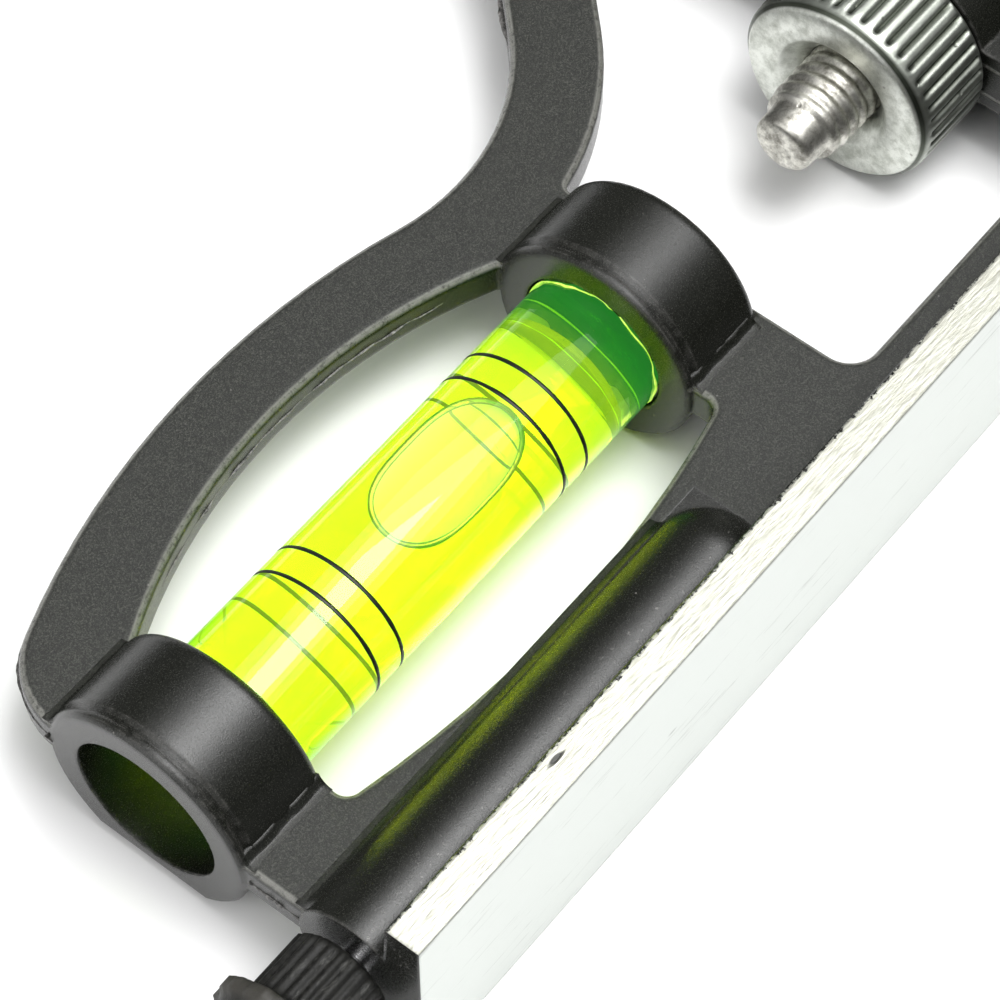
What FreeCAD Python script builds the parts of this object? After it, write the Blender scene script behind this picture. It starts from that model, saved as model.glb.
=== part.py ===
import FreeCAD, Part
import math
import os

# Combination square: a die-cast head with a level and a scriber, clamped on a 300 mm steel rule.
# Millimetres. X runs along the 90 degree face towards the rule, Y into the head, Z up.
# The origin is the middle of the long 90 degree face, half way up the head.
# Sizes below are measured along X from the scriber end of the head, and moved when saved.

vector = FreeCAD.Vector
along_x = vector(1, 0, 0)

# head
face_middle = 40.0
head_length = 98.0
half_thickness = 7.21
flange_depth = 2.48
flange_lean = 0.35
edge_break = 0.15
web_half = 1.5
web_round = 0.55
web_inset = 0.2
end_corner_radius = 6.0
back_arc_radius = 56.0
back_arc_x = 24.7
back_arc_top = 37.4
notch_radius = 16.6
notch_x = 45.26
arm_width = 6.1
miter_offset = 15.2
miter_start_x = 63.4
miter_flange_depth = 2.6
overlap = 1.0

# rule seat and cheeks
seat_x = 84.0
cheek_start = 80.0
cheek_half = 6.9
slot_half = 1.15
lug_start = 74.2
lug_radius = 7.0
cheek_inset = 0.5
lug_foot_drop = 3.0

# level
vial_y = 20.6
vial_radius = 5.0
vial_start = 4.0
vial_end = 45.0
boss_radius = 7.53
boss_round = 0.8
boss_rim = 0.25
boss_groove_depth = 0.22
boss_groove_start = 0.55
boss_groove_end = 1.25
bore_radius = 5.27
lower_boss_end = 7.35
lower_boss_floor = -6.0
upper_boss_start = 41.9
upper_boss_end = 49.2
upper_bore_end = 47.0
cavity_start = 9.0
cavity_end = 38.8
cavity_end_radius = 3.74
cavity_middle_radius = 3.9
cavity_wall_steps = 6
glue_proud = 0.3
bubble_x = 27.5
bubble_half_length = 5.7
bubble_half_width = 2.6
bubble_half_height = 1.6
bubble_z = 1.95

# openings in the web
opening_left = 7.3
opening_right = 42.3
opening_middle = 25.2
opening_top = 32.05
opening_top_radius = 40.0
opening_bottom = 9.42
opening_bottom_radius = 78.0
opening_corner = 1.0
window_left = 49.6
window_bottom = 6.07
window_corner = 2.0

# clamp
bolt_radius = 2.85
bolt_tip_radius = 2.15
bolt_tip_start = 61.5
bolt_tip_length = 2.2
nut_start = 67.1
nut_end = 74.1
nut_radius = 7.27
nut_face_radius = 6.7
nut_countersink = 4.26
nut_countersink_depth = 1.4
nut_bevel = 0.6
bolt_bevel = 0.4
running_clearance = 0.05
spring_pocket_start = 77.2
spring_pocket_radius = 4.3
spring_start = 77.3
spring_end = 81.0
spring_radius = 3.5
spring_wire = 0.35
spring_turns = 3.0
shoulder_radius = 4.0
shoulder_length = 1.3
tongue_half_width = 2.4
tongue_low = 1.2
tongue_high = 3.0
tongue_end = 97.3
tongue_gap = 0.3
hook_length = 1.5
hook_low = 0.4
hook_root = 0.2

# rule
rule_length = 300.0
rule_width = 25.4
rule_half_thickness = 1.0
rule_gap = 0.1
rule_middle_y = 40.0
groove_width = 3.0
groove_depth = 0.7

# scriber
scriber_y = 5.0
housing_radius = 4.0
housing_length = 32.9
needle_radius = 1.0
needle_root = -4.0
needle_tip = 31.0
needle_point = 4.0
scriber_bore_end = 32.5
knob_radius = 3.45
knob_start = -0.8
knob_collar = -5.1
knob_collar_end = -7.0
knob_collar_radius = 5.0
knob_end = -8.8
knob_end_radius = 2.6
knob_bevel = 0.3
needle_flat = 0.05


def box(x0, x1, y0, y1, z0, z1):
    return Part.makeBox(x1 - x0, y1 - y0, z1 - z0, vector(x0, y0, z0))


def rod(radius, x0, x1, y=vial_y, z=0.0):
    return Part.makeCylinder(radius, x1 - x0, vector(x0, y, z), along_x)


def turned(profile, y=vial_y):
    """A solid of revolution about the line along X at height y, from (x, radius) points."""
    points = [vector(x, y + radius, 0) for x, radius in profile]
    points.append(points[0])
    face = Part.Face(Part.makePolygon(points))
    return face.revolve(vector(0, y, 0), along_x, 360)


def on_circle(center, radius, degrees):
    angle = math.radians(degrees)
    return vector(center.x + radius * math.cos(angle), center.y + radius * math.sin(angle), 0)


def arc_edge(start, middle, end):
    return Part.Arc(start, middle, end).toShape()


def slab(edges, half):
    """A plate between -half and +half, bounded by the edges."""
    wire = Part.Wire(Part.__sortEdges__(edges))
    wire.translate(vector(0, 0, -half))
    return Part.Face(wire).extrude(vector(0, 0, 2 * half))


def rounded(solid, edges, radius):
    """Rounds the chosen edges of a solid."""
    return solid.makeFillet(radius, edges)


def flat_edges(solid, half):
    """The edges that lie in the top and bottom planes of a plate."""
    return [e for e in solid.Edges if all(abs(abs(v.Z) - half) < 1e-6 for v in e.Vertexes)]


def miter_y(x):
    return x - miter_offset


def arm_shape():
    """Centres and joints of the arcs that bound the back of the web."""
    back_center = vector(back_arc_x, back_arc_top - back_arc_radius, 0)
    reach = back_arc_radius + notch_radius
    rise = math.sqrt(reach ** 2 - (notch_x - back_arc_x) ** 2)
    notch_center = vector(notch_x, back_center.y + rise, 0)
    joint = back_center + (notch_center - back_center) * (back_arc_radius / reach)
    return back_center, notch_center, joint


def web_outline():
    """The whole outside of the web, from the 90 degree face round the notch to the rule."""
    back_center, notch_center, joint = arm_shape()
    corner_x = web_inset + end_corner_radius
    drop = math.sqrt((back_arc_radius - end_corner_radius) ** 2 - (back_center.x - corner_x) ** 2)
    corner_center = vector(corner_x, back_center.y + drop, 0)
    outward = (corner_center - back_center).normalize()
    corner_top = corner_center + outward * end_corner_radius
    corner_low = vector(web_inset, corner_center.y, 0)
    lean = (math.degrees(math.atan2(outward.y, outward.x)) + 180) / 2
    top_angle = math.degrees(math.atan2(corner_top.y - back_center.y, corner_top.x - back_center.x))
    joint_angle = math.degrees(math.atan2(joint.y - back_center.y, joint.x - back_center.x))
    low_angle = joint_angle - 180
    notch_end = on_circle(notch_center, notch_radius, -45)
    offset = notch_end.x - notch_end.y
    far = vector(cheek_start + overlap, cheek_start + overlap - offset, 0)
    low_left = vector(web_inset, overlap, 0)
    low_right = vector(cheek_start + overlap, overlap, 0)
    back_middle = on_circle(back_center, back_arc_radius, (top_angle + joint_angle) / 2)
    notch_middle = on_circle(notch_center, notch_radius, (low_angle - 45) / 2)
    corner_middle = on_circle(corner_center, end_corner_radius, lean)
    return [
        Part.makeLine(low_left, corner_low),
        arc_edge(corner_low, corner_middle, corner_top),
        arc_edge(corner_top, back_middle, joint),
        arc_edge(joint, notch_middle, notch_end),
        Part.makeLine(notch_end, far),
        Part.makeLine(far, low_right),
        Part.makeLine(low_right, low_left),
    ]


def opening_outline():
    """The opening beside the vial: two long shallow arcs between the bosses."""
    top_center = vector(opening_middle, opening_top - opening_top_radius, 0)
    low_center = vector(opening_middle, opening_bottom + opening_bottom_radius, 0)

    def on_top(x):
        return top_center.y + math.sqrt(opening_top_radius ** 2 - (x - opening_middle) ** 2)

    def on_bottom(x):
        return low_center.y - math.sqrt(opening_bottom_radius ** 2 - (x - opening_middle) ** 2)

    top_left = vector(opening_left, on_top(opening_left), 0)
    top_right = vector(opening_right, on_top(opening_right), 0)
    low_left = vector(opening_left, on_bottom(opening_left), 0)
    low_right = vector(opening_right, on_bottom(opening_right), 0)
    return [
        arc_edge(top_left, vector(opening_middle, opening_top, 0), top_right),
        Part.makeLine(top_right, low_right),
        arc_edge(low_right, vector(opening_middle, opening_bottom, 0), low_left),
        Part.makeLine(low_left, top_left),
    ]


def window_outline():
    """The window round the nut: square at the foot, following the notch and the 45 degree arm above."""
    notch_center = arm_shape()[1]
    radius = notch_radius + arm_width
    start_angle = -math.degrees(math.acos((window_left - notch_center.x) / radius))
    arm_low = on_circle(notch_center, radius, start_angle)
    arm_mid = on_circle(notch_center, radius, (start_angle - 45) / 2)
    arm_end = on_circle(notch_center, radius, -45)
    far = vector(lug_start, arm_end.y + lug_start - arm_end.x, 0)
    low_right = vector(lug_start, window_bottom, 0)
    low_left = vector(window_left, window_bottom, 0)
    return [
        arc_edge(arm_low, arm_mid, arm_end),
        Part.makeLine(arm_end, far),
        Part.makeLine(far, low_right),
        Part.makeLine(low_right, low_left),
        Part.makeLine(low_left, arm_low),
    ]


def corner_edges(solid, places, reach):
    """The upright edges of a plate that stand near the given (x, y) places."""
    chosen = []
    for edge in solid.Edges:
        ends = [v.Point for v in edge.Vertexes]
        upright = len(ends) == 2 and abs(ends[0].z - ends[1].z) > 1
        if upright and any(math.hypot(ends[0].x - x, ends[0].y - y) < reach for x, y in places):
            chosen.append(edge)
    return chosen


def web():
    """The thin plate with its two openings and softened edges."""
    plate = slab(web_outline(), web_half)
    opening = slab(opening_outline(), web_half)
    corners = [(opening_left, opening_bottom + 2), (opening_right, opening_bottom + 2)]
    opening = rounded(opening, corner_edges(opening, corners, 3), opening_corner)
    window = slab(window_outline(), web_half)
    corners = [(window_left, window_bottom), (lug_start, window_bottom)]
    window = rounded(window, corner_edges(window, corners, 1), window_corner)
    plate = plate.cut(opening).cut(window)
    return rounded(plate, flat_edges(plate, web_half), web_round)


def square_flange():
    """The rail of the 90 degree face. Its inner wall leans out towards the web."""
    outside = half_thickness - edge_break
    upper = [
        vector(0, 0, outside),
        vector(0, edge_break, half_thickness),
        vector(0, flange_depth - edge_break, half_thickness),
        vector(0, flange_depth, outside),
        vector(0, flange_depth + flange_lean, 0),
    ]
    lower = [vector(0, p.y, -p.z) for p in reversed(upper[:-1])]
    profile = upper + lower + upper[:1]
    return Part.Face(Part.makePolygon(profile)).extrude(vector(head_length, 0, 0))


def miter_flange():
    """The rail of the 45 degree face, from the notch to the end of the cheeks."""
    depth = miter_flange_depth * math.sqrt(2)
    outline = [
        vector(miter_start_x, miter_y(miter_start_x), -half_thickness),
        vector(head_length, miter_y(head_length), -half_thickness),
        vector(head_length, miter_y(head_length) - depth, -half_thickness),
        vector(miter_start_x + depth / 2, miter_y(miter_start_x) - depth / 2, -half_thickness),
    ]
    outline.append(outline[0])
    return Part.Face(Part.makePolygon(outline)).extrude(vector(0, 0, 2 * half_thickness))


def cheeks():
    """The thick end of the head that holds the rule, with the lug that the bolt passes through."""
    top_left = miter_y(cheek_start)
    top_right = miter_y(head_length)
    outline = [
        vector(cheek_start, cheek_inset, -cheek_half),
        vector(head_length, cheek_inset, -cheek_half),
        vector(head_length, top_right - cheek_inset, -cheek_half),
        vector(cheek_start, top_left - cheek_inset, -cheek_half),
        vector(cheek_start, cheek_inset, -cheek_half),
    ]
    block = Part.Face(Part.makePolygon(outline)).extrude(vector(0, 0, 2 * cheek_half))
    lug = rod(lug_radius, lug_start, cheek_start + overlap)
    foot_top = miter_y(lug_start) - lug_foot_drop
    foot_half = web_half + overlap
    lug_foot = box(lug_start, cheek_start + overlap, overlap, foot_top, -foot_half, foot_half)
    return block.fuse([lug, lug_foot])


def boss(start, end, floor):
    """A boss for the vial, with a shallow groove behind its rim and a flat underneath."""
    groove_radius = boss_radius - boss_groove_depth
    body = turned([
        (start, 0),
        (start, boss_radius - boss_rim),
        (start + boss_rim, boss_radius),
        (start + boss_groove_start, boss_radius),
        (start + boss_groove_start + boss_rim, groove_radius),
        (start + boss_groove_end - boss_rim, groove_radius),
        (start + boss_groove_end, boss_radius),
        (end, boss_radius),
        (end, 0),
    ])
    far_rim = [e for e in body.Edges if e.Closed and abs(e.CenterOfMass.x - end) < 0.01]
    body = rounded(body, far_rim, boss_round)
    side = boss_radius + overlap
    return body.common(box(start - overlap, end + overlap, vial_y - side, vial_y + side, floor, side))


def scriber_housing():
    """The round ended barrel along the flange that the scriber slides in."""
    barrel = rod(housing_radius, 0, housing_length, scriber_y)
    nose = Part.makeSphere(housing_radius, vector(housing_length, scriber_y, 0))
    side = housing_radius + overlap
    past_nose = housing_length + side
    return barrel.fuse(nose).cut(box(-overlap, past_nose, -side, cheek_inset, -side, side))


def head_casting():
    body = square_flange().fuse([
        web(),
        miter_flange(),
        cheeks(),
        boss(0, lower_boss_end, lower_boss_floor),
        boss(upper_boss_start, upper_boss_end, -half_thickness),
        scriber_housing(),
    ])
    past_end = head_length + overlap
    top = miter_y(head_length) + overlap
    slot_side = tongue_half_width + tongue_gap
    cuts = [
        rod(bore_radius, -overlap, upper_bore_end),
        box(seat_x, past_end, -overlap, top, -slot_half, slot_half),
        rod(bolt_radius + running_clearance, lug_start - overlap, seat_x + overlap),
        rod(spring_pocket_radius, spring_pocket_start, seat_x),
        box(seat_x - overlap, past_end, vial_y - slot_side, vial_y + slot_side, 0, tongue_high + tongue_gap),
        rod(needle_radius + running_clearance, -overlap, scriber_bore_end, scriber_y),
    ]
    for tool in cuts:
        body = body.cut(tool)
    return body.removeSplitter()


def barrel_profile(steps):
    """Points of the bulging cavity wall, widest half way along."""
    half = (cavity_end - cavity_start) / 2
    bulge = cavity_middle_radius - cavity_end_radius
    points = []
    for i in range(steps + 1):
        t = 2 * i / steps - 1
        points.append((cavity_start + half * (t + 1), cavity_middle_radius - bulge * t * t))
    return points


def cavity():
    wall = [vector(x, vial_y + r, 0) for x, r in barrel_profile(cavity_wall_steps)]
    curve = Part.BSplineCurve()
    curve.interpolate(wall)
    first = vector(cavity_start, vial_y, 0)
    last = vector(cavity_end, vial_y, 0)
    edges = [
        curve.toShape(),
        Part.makeLine(wall[-1], last),
        Part.makeLine(last, first),
        Part.makeLine(first, wall[0]),
    ]
    face = Part.Face(Part.Wire(edges))
    return face.revolve(vector(0, vial_y, 0), along_x, 360)


def vial_end_plug():
    return rod(cavity_end_radius, cavity_end, vial_end)


def vial_tube():
    return rod(vial_radius, vial_start, vial_end).cut(cavity()).cut(vial_end_plug())


def vial_bubble():
    """A flattened air bubble with round ends, high in the cavity."""
    straight = bubble_half_length - bubble_half_height
    body = Part.makeCylinder(bubble_half_height, 2 * straight, vector(-straight, 0, 0), along_x)
    for end in (-straight, straight):
        body = body.fuse(Part.makeSphere(bubble_half_height, vector(end, 0, 0)))
    widen = FreeCAD.Matrix()
    widen.scale(1, bubble_half_width / bubble_half_height, 1)
    body = body.removeSplitter().transformGeometry(widen)
    body.translate(vector(bubble_x, vial_y, bubble_z))
    return body


def vial_liquid():
    return cavity().cut(vial_bubble())


def glue_ring(start, end):
    return rod(bore_radius, start, end).cut(rod(vial_radius, start - overlap, end + overlap))


def clamp_bolt():
    """The draw bolt: dog tip, threaded shank, spring shoulder, and a tongue that hooks into the rule."""
    shank_start = bolt_tip_start + bolt_tip_length
    shoulder_start = spring_end + running_clearance
    shoulder_end = shoulder_start + shoulder_length
    turned_part = turned([
        (bolt_tip_start, 0),
        (bolt_tip_start, bolt_tip_radius - bolt_bevel),
        (bolt_tip_start + bolt_bevel, bolt_tip_radius),
        (shank_start, bolt_tip_radius),
        (shank_start + bolt_bevel, bolt_radius),
        (shoulder_start, bolt_radius),
        (shoulder_start, shoulder_radius),
        (shoulder_end, shoulder_radius),
        (shoulder_end, 0),
    ])
    side = (vial_y - tongue_half_width, vial_y + tongue_half_width)
    tongue = box(shoulder_start, tongue_end, side[0], side[1], tongue_low, tongue_high)
    hook_start = groove_start() + rule_gap
    hook = box(hook_start, hook_start + hook_length, side[0], side[1], hook_low, tongue_low + hook_root)
    return turned_part.fuse([tongue, hook]).removeSplitter()


def clamp_nut():
    """The round nut, without its knurl: a bevelled drum with a countersunk thread."""
    inner = bolt_radius + running_clearance
    return turned([
        (nut_start + nut_countersink_depth, inner),
        (nut_start, nut_countersink),
        (nut_start, nut_face_radius),
        (nut_start + nut_bevel, nut_radius),
        (nut_end - nut_bevel, nut_radius),
        (nut_end, nut_face_radius),
        (nut_end, inner),
    ])


def clamp_spring():
    """An open coil of wire between the lug and the bolt's shoulder."""
    clear = spring_wire + running_clearance
    length = spring_end - spring_start - 2 * clear
    pitch = length / spring_turns
    helix = Part.makeHelix(pitch, length, spring_radius)
    circle = Part.Wire(Part.makeCircle(spring_wire, vector(spring_radius, 0, 0), vector(0, 1, 0)))
    coil = Part.Wire(helix).makePipeShell([circle], True, True)
    coil.rotate(vector(0, 0, 0), vector(0, 1, 0), 90)
    coil.translate(vector(spring_start + clear, vial_y, 0))
    return coil


def groove_start():
    return seat_x + rule_gap + (rule_width - groove_width) / 2


def rule():
    """The steel rule, with the long groove that the bolt's hook pulls on."""
    low = rule_middle_y - rule_length / 2
    high = rule_middle_y + rule_length / 2
    left = seat_x + rule_gap
    blade = box(left, left + rule_width, low, high, -rule_half_thickness, rule_half_thickness)
    start = groove_start()
    floor = rule_half_thickness - groove_depth
    above = rule_half_thickness + overlap
    groove = box(start, start + groove_width, low - overlap, high + overlap, floor, above)
    return blade.cut(groove)


def scriber_needle():
    return turned([
        (needle_root, 0),
        (needle_root, needle_radius),
        (needle_tip - needle_point, needle_radius),
        (needle_tip, needle_flat),
        (needle_tip, 0),
    ], scriber_y)


def scriber_knob():
    body = turned([
        (knob_start, 0),
        (knob_start, knob_radius - knob_bevel),
        (knob_start - knob_bevel, knob_radius),
        (knob_collar, knob_radius),
        (knob_collar, knob_collar_radius),
        (knob_collar_end, knob_collar_radius),
        (knob_end, knob_end_radius),
        (knob_end, 0),
    ], scriber_y)
    return body.cut(scriber_needle())


def save(name, shape):
    """Moves a piece into the part's own frame and writes it."""
    placed = shape.copy()
    placed.translate(vector(-face_middle, 0, 0))
    placed.exportStep("parts/" + name + ".step")
    print(name, len(placed.Solids), placed.isValid(), round(placed.Volume, 1))


os.makedirs("parts", exist_ok=True)
save("head_casting", head_casting())
save("vial_tube", vial_tube())
save("vial_end_plug", vial_end_plug())
save("vial_liquid", vial_liquid())
save("vial_bubble", vial_bubble())
save("vial_glue_lower", glue_ring(vial_start, lower_boss_end))
save("vial_glue_upper", glue_ring(upper_boss_start - glue_proud, vial_end))
save("clamp_bolt", clamp_bolt())
save("clamp_nut", clamp_nut())
save("clamp_spring", clamp_spring())
save("rule", rule())
save("scriber_needle", scriber_needle())
save("scriber_knob", scriber_knob())
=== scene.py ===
import math
import bpy
import numpy as np
from mathutils import Matrix, Vector


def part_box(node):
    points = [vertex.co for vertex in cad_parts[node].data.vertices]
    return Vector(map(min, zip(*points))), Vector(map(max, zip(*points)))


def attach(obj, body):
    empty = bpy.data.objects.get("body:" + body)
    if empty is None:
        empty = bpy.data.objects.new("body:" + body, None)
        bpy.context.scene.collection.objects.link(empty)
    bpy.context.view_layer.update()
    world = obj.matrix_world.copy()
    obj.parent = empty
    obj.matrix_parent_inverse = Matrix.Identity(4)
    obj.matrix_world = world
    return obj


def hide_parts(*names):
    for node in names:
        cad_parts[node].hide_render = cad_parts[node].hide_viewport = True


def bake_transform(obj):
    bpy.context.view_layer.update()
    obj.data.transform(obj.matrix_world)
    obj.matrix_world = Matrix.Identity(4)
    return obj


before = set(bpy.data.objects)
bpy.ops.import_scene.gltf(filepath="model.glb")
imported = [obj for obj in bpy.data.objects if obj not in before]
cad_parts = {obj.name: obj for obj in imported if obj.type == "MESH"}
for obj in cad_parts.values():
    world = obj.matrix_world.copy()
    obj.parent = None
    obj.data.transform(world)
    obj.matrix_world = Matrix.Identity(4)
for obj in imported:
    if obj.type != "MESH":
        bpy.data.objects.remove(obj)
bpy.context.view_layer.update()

# A combination square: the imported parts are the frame, and everything here is its finish.
# Metres. X runs along the 90 degree face towards the rule, Y into the head, Z up.

millimetre = 0.001
vialLow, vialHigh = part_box("vial_tube")
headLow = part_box("head_casting")[0]
ruleLow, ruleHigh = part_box("rule")
nutLow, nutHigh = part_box("clamp_nut")
boltLow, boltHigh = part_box("clamp_bolt")
knobLow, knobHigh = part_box("scriber_knob")
springLow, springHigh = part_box("clamp_spring")
vialAxisY = (vialLow.y + vialHigh.y) / 2
vialAxisZ = (vialLow.z + vialHigh.z) / 2
vialRadius = (vialHigh.y - vialLow.y) / 2
print("frame loaded:", len(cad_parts), "parts")


# mesh helpers

# A mesh object from arrays of points and of quads or triangles.
def addMesh(name, points, faces, smooth=True):
    mesh = bpy.data.meshes.new(name)
    mesh.from_pydata(np.asarray(points, float).reshape(-1, 3).tolist(), [], faces)
    mesh.validate()
    mesh.polygons.foreach_set("use_smooth", [smooth] * len(mesh.polygons))
    mesh.update()
    piece = bpy.data.objects.new(name, mesh)
    bpy.context.scene.collection.objects.link(piece)
    return piece


# Quads between neighbours of a rows by columns grid of points, joined up where it wraps.
def gridFaces(rows, columns, wrapRows=False, wrapColumns=False):
    rowCount = rows if wrapRows else rows - 1
    columnCount = columns if wrapColumns else columns - 1
    i, j = np.meshgrid(np.arange(rowCount), np.arange(columnCount), indexing="ij")
    nextRow = (i + 1) % rows
    nextColumn = (j + 1) % columns
    near, far = i * columns, nextRow * columns
    return np.stack([near + j, near + nextColumn, far + nextColumn, far + j], -1).reshape(-1, 4)


# Triangles that close a tube of rings to its two end points, which follow the rings.
def poleFaces(rows, around):
    first = rows * around
    top = first - around
    faces = []
    for j in range(around):
        k = (j + 1) % around
        faces.append([first, k, j])
        faces.append([first + 1, top + j, top + k])
    return faces


# Points at distance r from the vial's axis, turned by angle.
def roundVial(x, r, angle):
    y = vialAxisY + r * np.cos(angle)
    return np.stack([np.broadcast_to(x, y.shape), y, vialAxisZ + r * np.sin(angle)], -1)


# A surface of revolution about a line along X: point = axis + radius(station, angle) turned by angle.
# The first and last rings close to a point on the axis.
def turnedPiece(name, stations, radiusAt, axisY, axisZ, around):
    stations = np.asarray(stations, float)
    angle = np.linspace(0, 2 * math.pi, around, endpoint=False)
    s, a = np.meshgrid(np.arange(len(stations)), angle, indexing="ij")
    radius = radiusAt(s, a)
    x = np.repeat(stations[:, None], around, 1)
    ring = np.stack([x, axisY + radius * np.cos(a), axisZ + radius * np.sin(a)], -1).reshape(-1, 3)
    faces = gridFaces(len(stations), around, wrapColumns=True).tolist()
    ends = np.array([[stations[0], axisY, axisZ], [stations[-1], axisY, axisZ]])
    return addMesh(name, np.vstack([ring, ends]), faces + poleFaces(len(stations), around))


# The plain radius at each station, plus a ripple that depends on station and angle.
def profileRadius(radii, ripple=None):
    radii = np.asarray(radii, float)

    def radiusAt(s, a):
        base = radii[s]
        return base if ripple is None else base + ripple(s, a)

    return radiusAt


# A round tube: at each path point a circle stands square to the path's direction.
def tubeAlong(name, path, radius, sides=10, closed=False):
    path = np.asarray(path, float)
    if closed:
        ahead = np.roll(path, -1, 0) - np.roll(path, 1, 0)
    else:
        ahead = np.gradient(path, axis=0)
    ahead /= np.linalg.norm(ahead, axis=1)[:, None]
    guide = np.array([0.0, 0.0, 1.0]) if abs(ahead[:, 2]).max() < 0.9 else np.array([1.0, 0.0, 0.0])
    side = np.cross(ahead, guide)
    side /= np.linalg.norm(side, axis=1)[:, None]
    rise = np.cross(side, ahead)
    angle = np.linspace(0, 2 * math.pi, sides, endpoint=False)
    reach = np.broadcast_to(np.asarray(radius, float), (len(path),))[:, None, None]
    ring = side[:, None, :] * np.cos(angle)[None, :, None] + rise[:, None, :] * np.sin(angle)[None, :, None]
    points = (path[:, None, :] + ring * reach).reshape(-1, 3)
    faces = gridFaces(len(path), sides, wrapRows=closed, wrapColumns=True)[:, ::-1].tolist()
    if not closed:
        faces.append(list(range(sides)))
        faces.append(list(range((len(path) - 1) * sides, len(path) * sides))[::-1])
    return addMesh(name, points, faces)


# Many small upright boxes in one mesh: corner = centre plus or minus half size.
def barsPiece(name, centers, halves):
    signs = np.array([[x, y, z] for x in (-1, 1) for y in (-1, 1) for z in (-1, 1)], float)
    points = centers[:, None, :] + signs[None] * halves[:, None, :]
    quads = np.array([[0, 1, 3, 2], [4, 6, 7, 5], [0, 4, 5, 1], [2, 3, 7, 6], [0, 2, 6, 4], [1, 5, 7, 3]])
    faces = (quads[None] + 8 * np.arange(len(centers))[:, None, None]).reshape(-1, 4)
    return addMesh(name, points, faces.tolist(), smooth=False)


# A smooth random wave: cosine mixing between count random heights, repeating once round.
def smoothNoise(values, count, seed):
    heights = np.random.default_rng(seed).uniform(-1, 1, count)
    place = np.asarray(values) % 1.0 * count
    low = np.floor(place).astype(int) % count
    high = (low + 1) % count
    mix = (1 - np.cos((place - np.floor(place)) * math.pi)) / 2
    return heights[low] * (1 - mix) + heights[high] * mix


# material helpers

def newMaterial(name):
    material = bpy.data.materials.new(name)
    material.use_nodes = True
    nodes = material.node_tree.nodes
    nodes.clear()
    output = nodes.new("ShaderNodeOutputMaterial")
    shader = nodes.new("ShaderNodeBsdfPrincipled")
    material.node_tree.links.new(shader.outputs["BSDF"], output.inputs["Surface"])
    return material, material.node_tree, shader


# A node with its settings and inputs filled in: an input is a value or another node's output.
def node(tree, kind, inputs=None, **settings):
    made = tree.nodes.new(kind)
    for key, value in settings.items():
        setattr(made, key, value)
    for key, value in (inputs or {}).items():
        if isinstance(value, bpy.types.NodeSocket):
            tree.links.new(value, made.inputs[key])
        else:
            made.inputs[key].default_value = value
    return made


def math2(tree, operation, a, b=0.0, clamp=False):
    return node(tree, "ShaderNodeMath", {0: a, 1: b}, operation=operation, use_clamp=clamp).outputs[0]


def plus(tree, a, b):
    return math2(tree, "ADD", a, b)


def minus(tree, a, b):
    return math2(tree, "SUBTRACT", a, b)


def times(tree, a, b, clamp=False):
    return math2(tree, "MULTIPLY", a, b, clamp)


def larger(tree, a, b):
    return math2(tree, "MAXIMUM", a, b)


def magnitude(tree, a):
    return math2(tree, "ABSOLUTE", a)


def noise(tree, place, scale, detail, roughness=0.5):
    inputs = {"Vector": place, "Scale": scale, "Detail": detail, "Roughness": roughness}
    return node(tree, "ShaderNodeTexNoise", inputs).outputs["Fac"]


def feed(tree, target, socket, value):
    tree.links.new(value, target.inputs[socket])


# Bump from a height, on top of a rounded normal where one is given.
def bumpNormal(tree, shader, height, distance, strength, under=None):
    inputs = {"Height": height, "Distance": distance, "Strength": strength}
    if under is not None:
        inputs["Normal"] = under
    feed(tree, shader, "Normal", node(tree, "ShaderNodeBump", inputs).outputs[0])


# A straight ramp from fromLow at low to toHigh at high, held outside.
def ramp(tree, value, low, high, fromLow=0.0, toHigh=1.0):
    settings = {"Value": value, "From Min": low, "From Max": high, "To Min": fromLow, "To Max": toHigh}
    return node(tree, "ShaderNodeMapRange", settings, clamp=True).outputs["Result"]


# A soft step at an edge: 1 above it, or below it.
def above(tree, value, edge, blur=0.05):
    return ramp(tree, value, edge - blur, edge + blur)


def below(tree, value, edge, blur=0.05):
    return ramp(tree, value, edge + blur, edge - blur)


def mixColor(tree, factor, a, b):
    made = node(tree, "ShaderNodeMix", data_type="RGBA", blend_type="MIX")
    for socket, value in ((made.inputs[0], factor), (made.inputs[6], a), (made.inputs[7], b)):
        if isinstance(value, bpy.types.NodeSocket):
            tree.links.new(value, socket)
        elif hasattr(value, "__len__"):
            socket.default_value = (*value, 1.0) if len(value) == 3 else value
        else:
            socket.default_value = value
    return made.outputs[2]


# Object coordinates in millimetres, stretched and turned.
def objectPlace(tree, scale=(1000, 1000, 1000), rotation=(0, 0, 0)):
    place = node(tree, "ShaderNodeTexCoord").outputs["Object"]
    return node(tree, "ShaderNodeMapping", {"Vector": place, "Scale": scale, "Rotation": rotation}).outputs[0]


# Distance from the line along X through axisY, in millimetres.
def axisDistance(tree, y, z, axisY):
    dy = minus(tree, y, axisY / millimetre)
    return math2(tree, "SQRT", plus(tree, times(tree, dy, dy), times(tree, z, z)))


def newGroup(name, inputs, outputs):
    group = bpy.data.node_groups.new(name, "ShaderNodeTree")
    for label, kind, value in inputs:
        socket = group.interface.new_socket(label, in_out="INPUT", socket_type=kind)
        if value is not None:
            socket.default_value = value
    for label, kind in outputs:
        group.interface.new_socket(label, in_out="OUTPUT", socket_type=kind)
    entry = group.nodes.new("NodeGroupInput")
    leave = group.nodes.new("NodeGroupOutput")
    return group, entry, leave


def useGroup(tree, group, inputs):
    return node(tree, "ShaderNodeGroup", inputs, node_tree=group)


floatSocket = "NodeSocketFloat"
vectorSocket = "NodeSocketVector"


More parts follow.
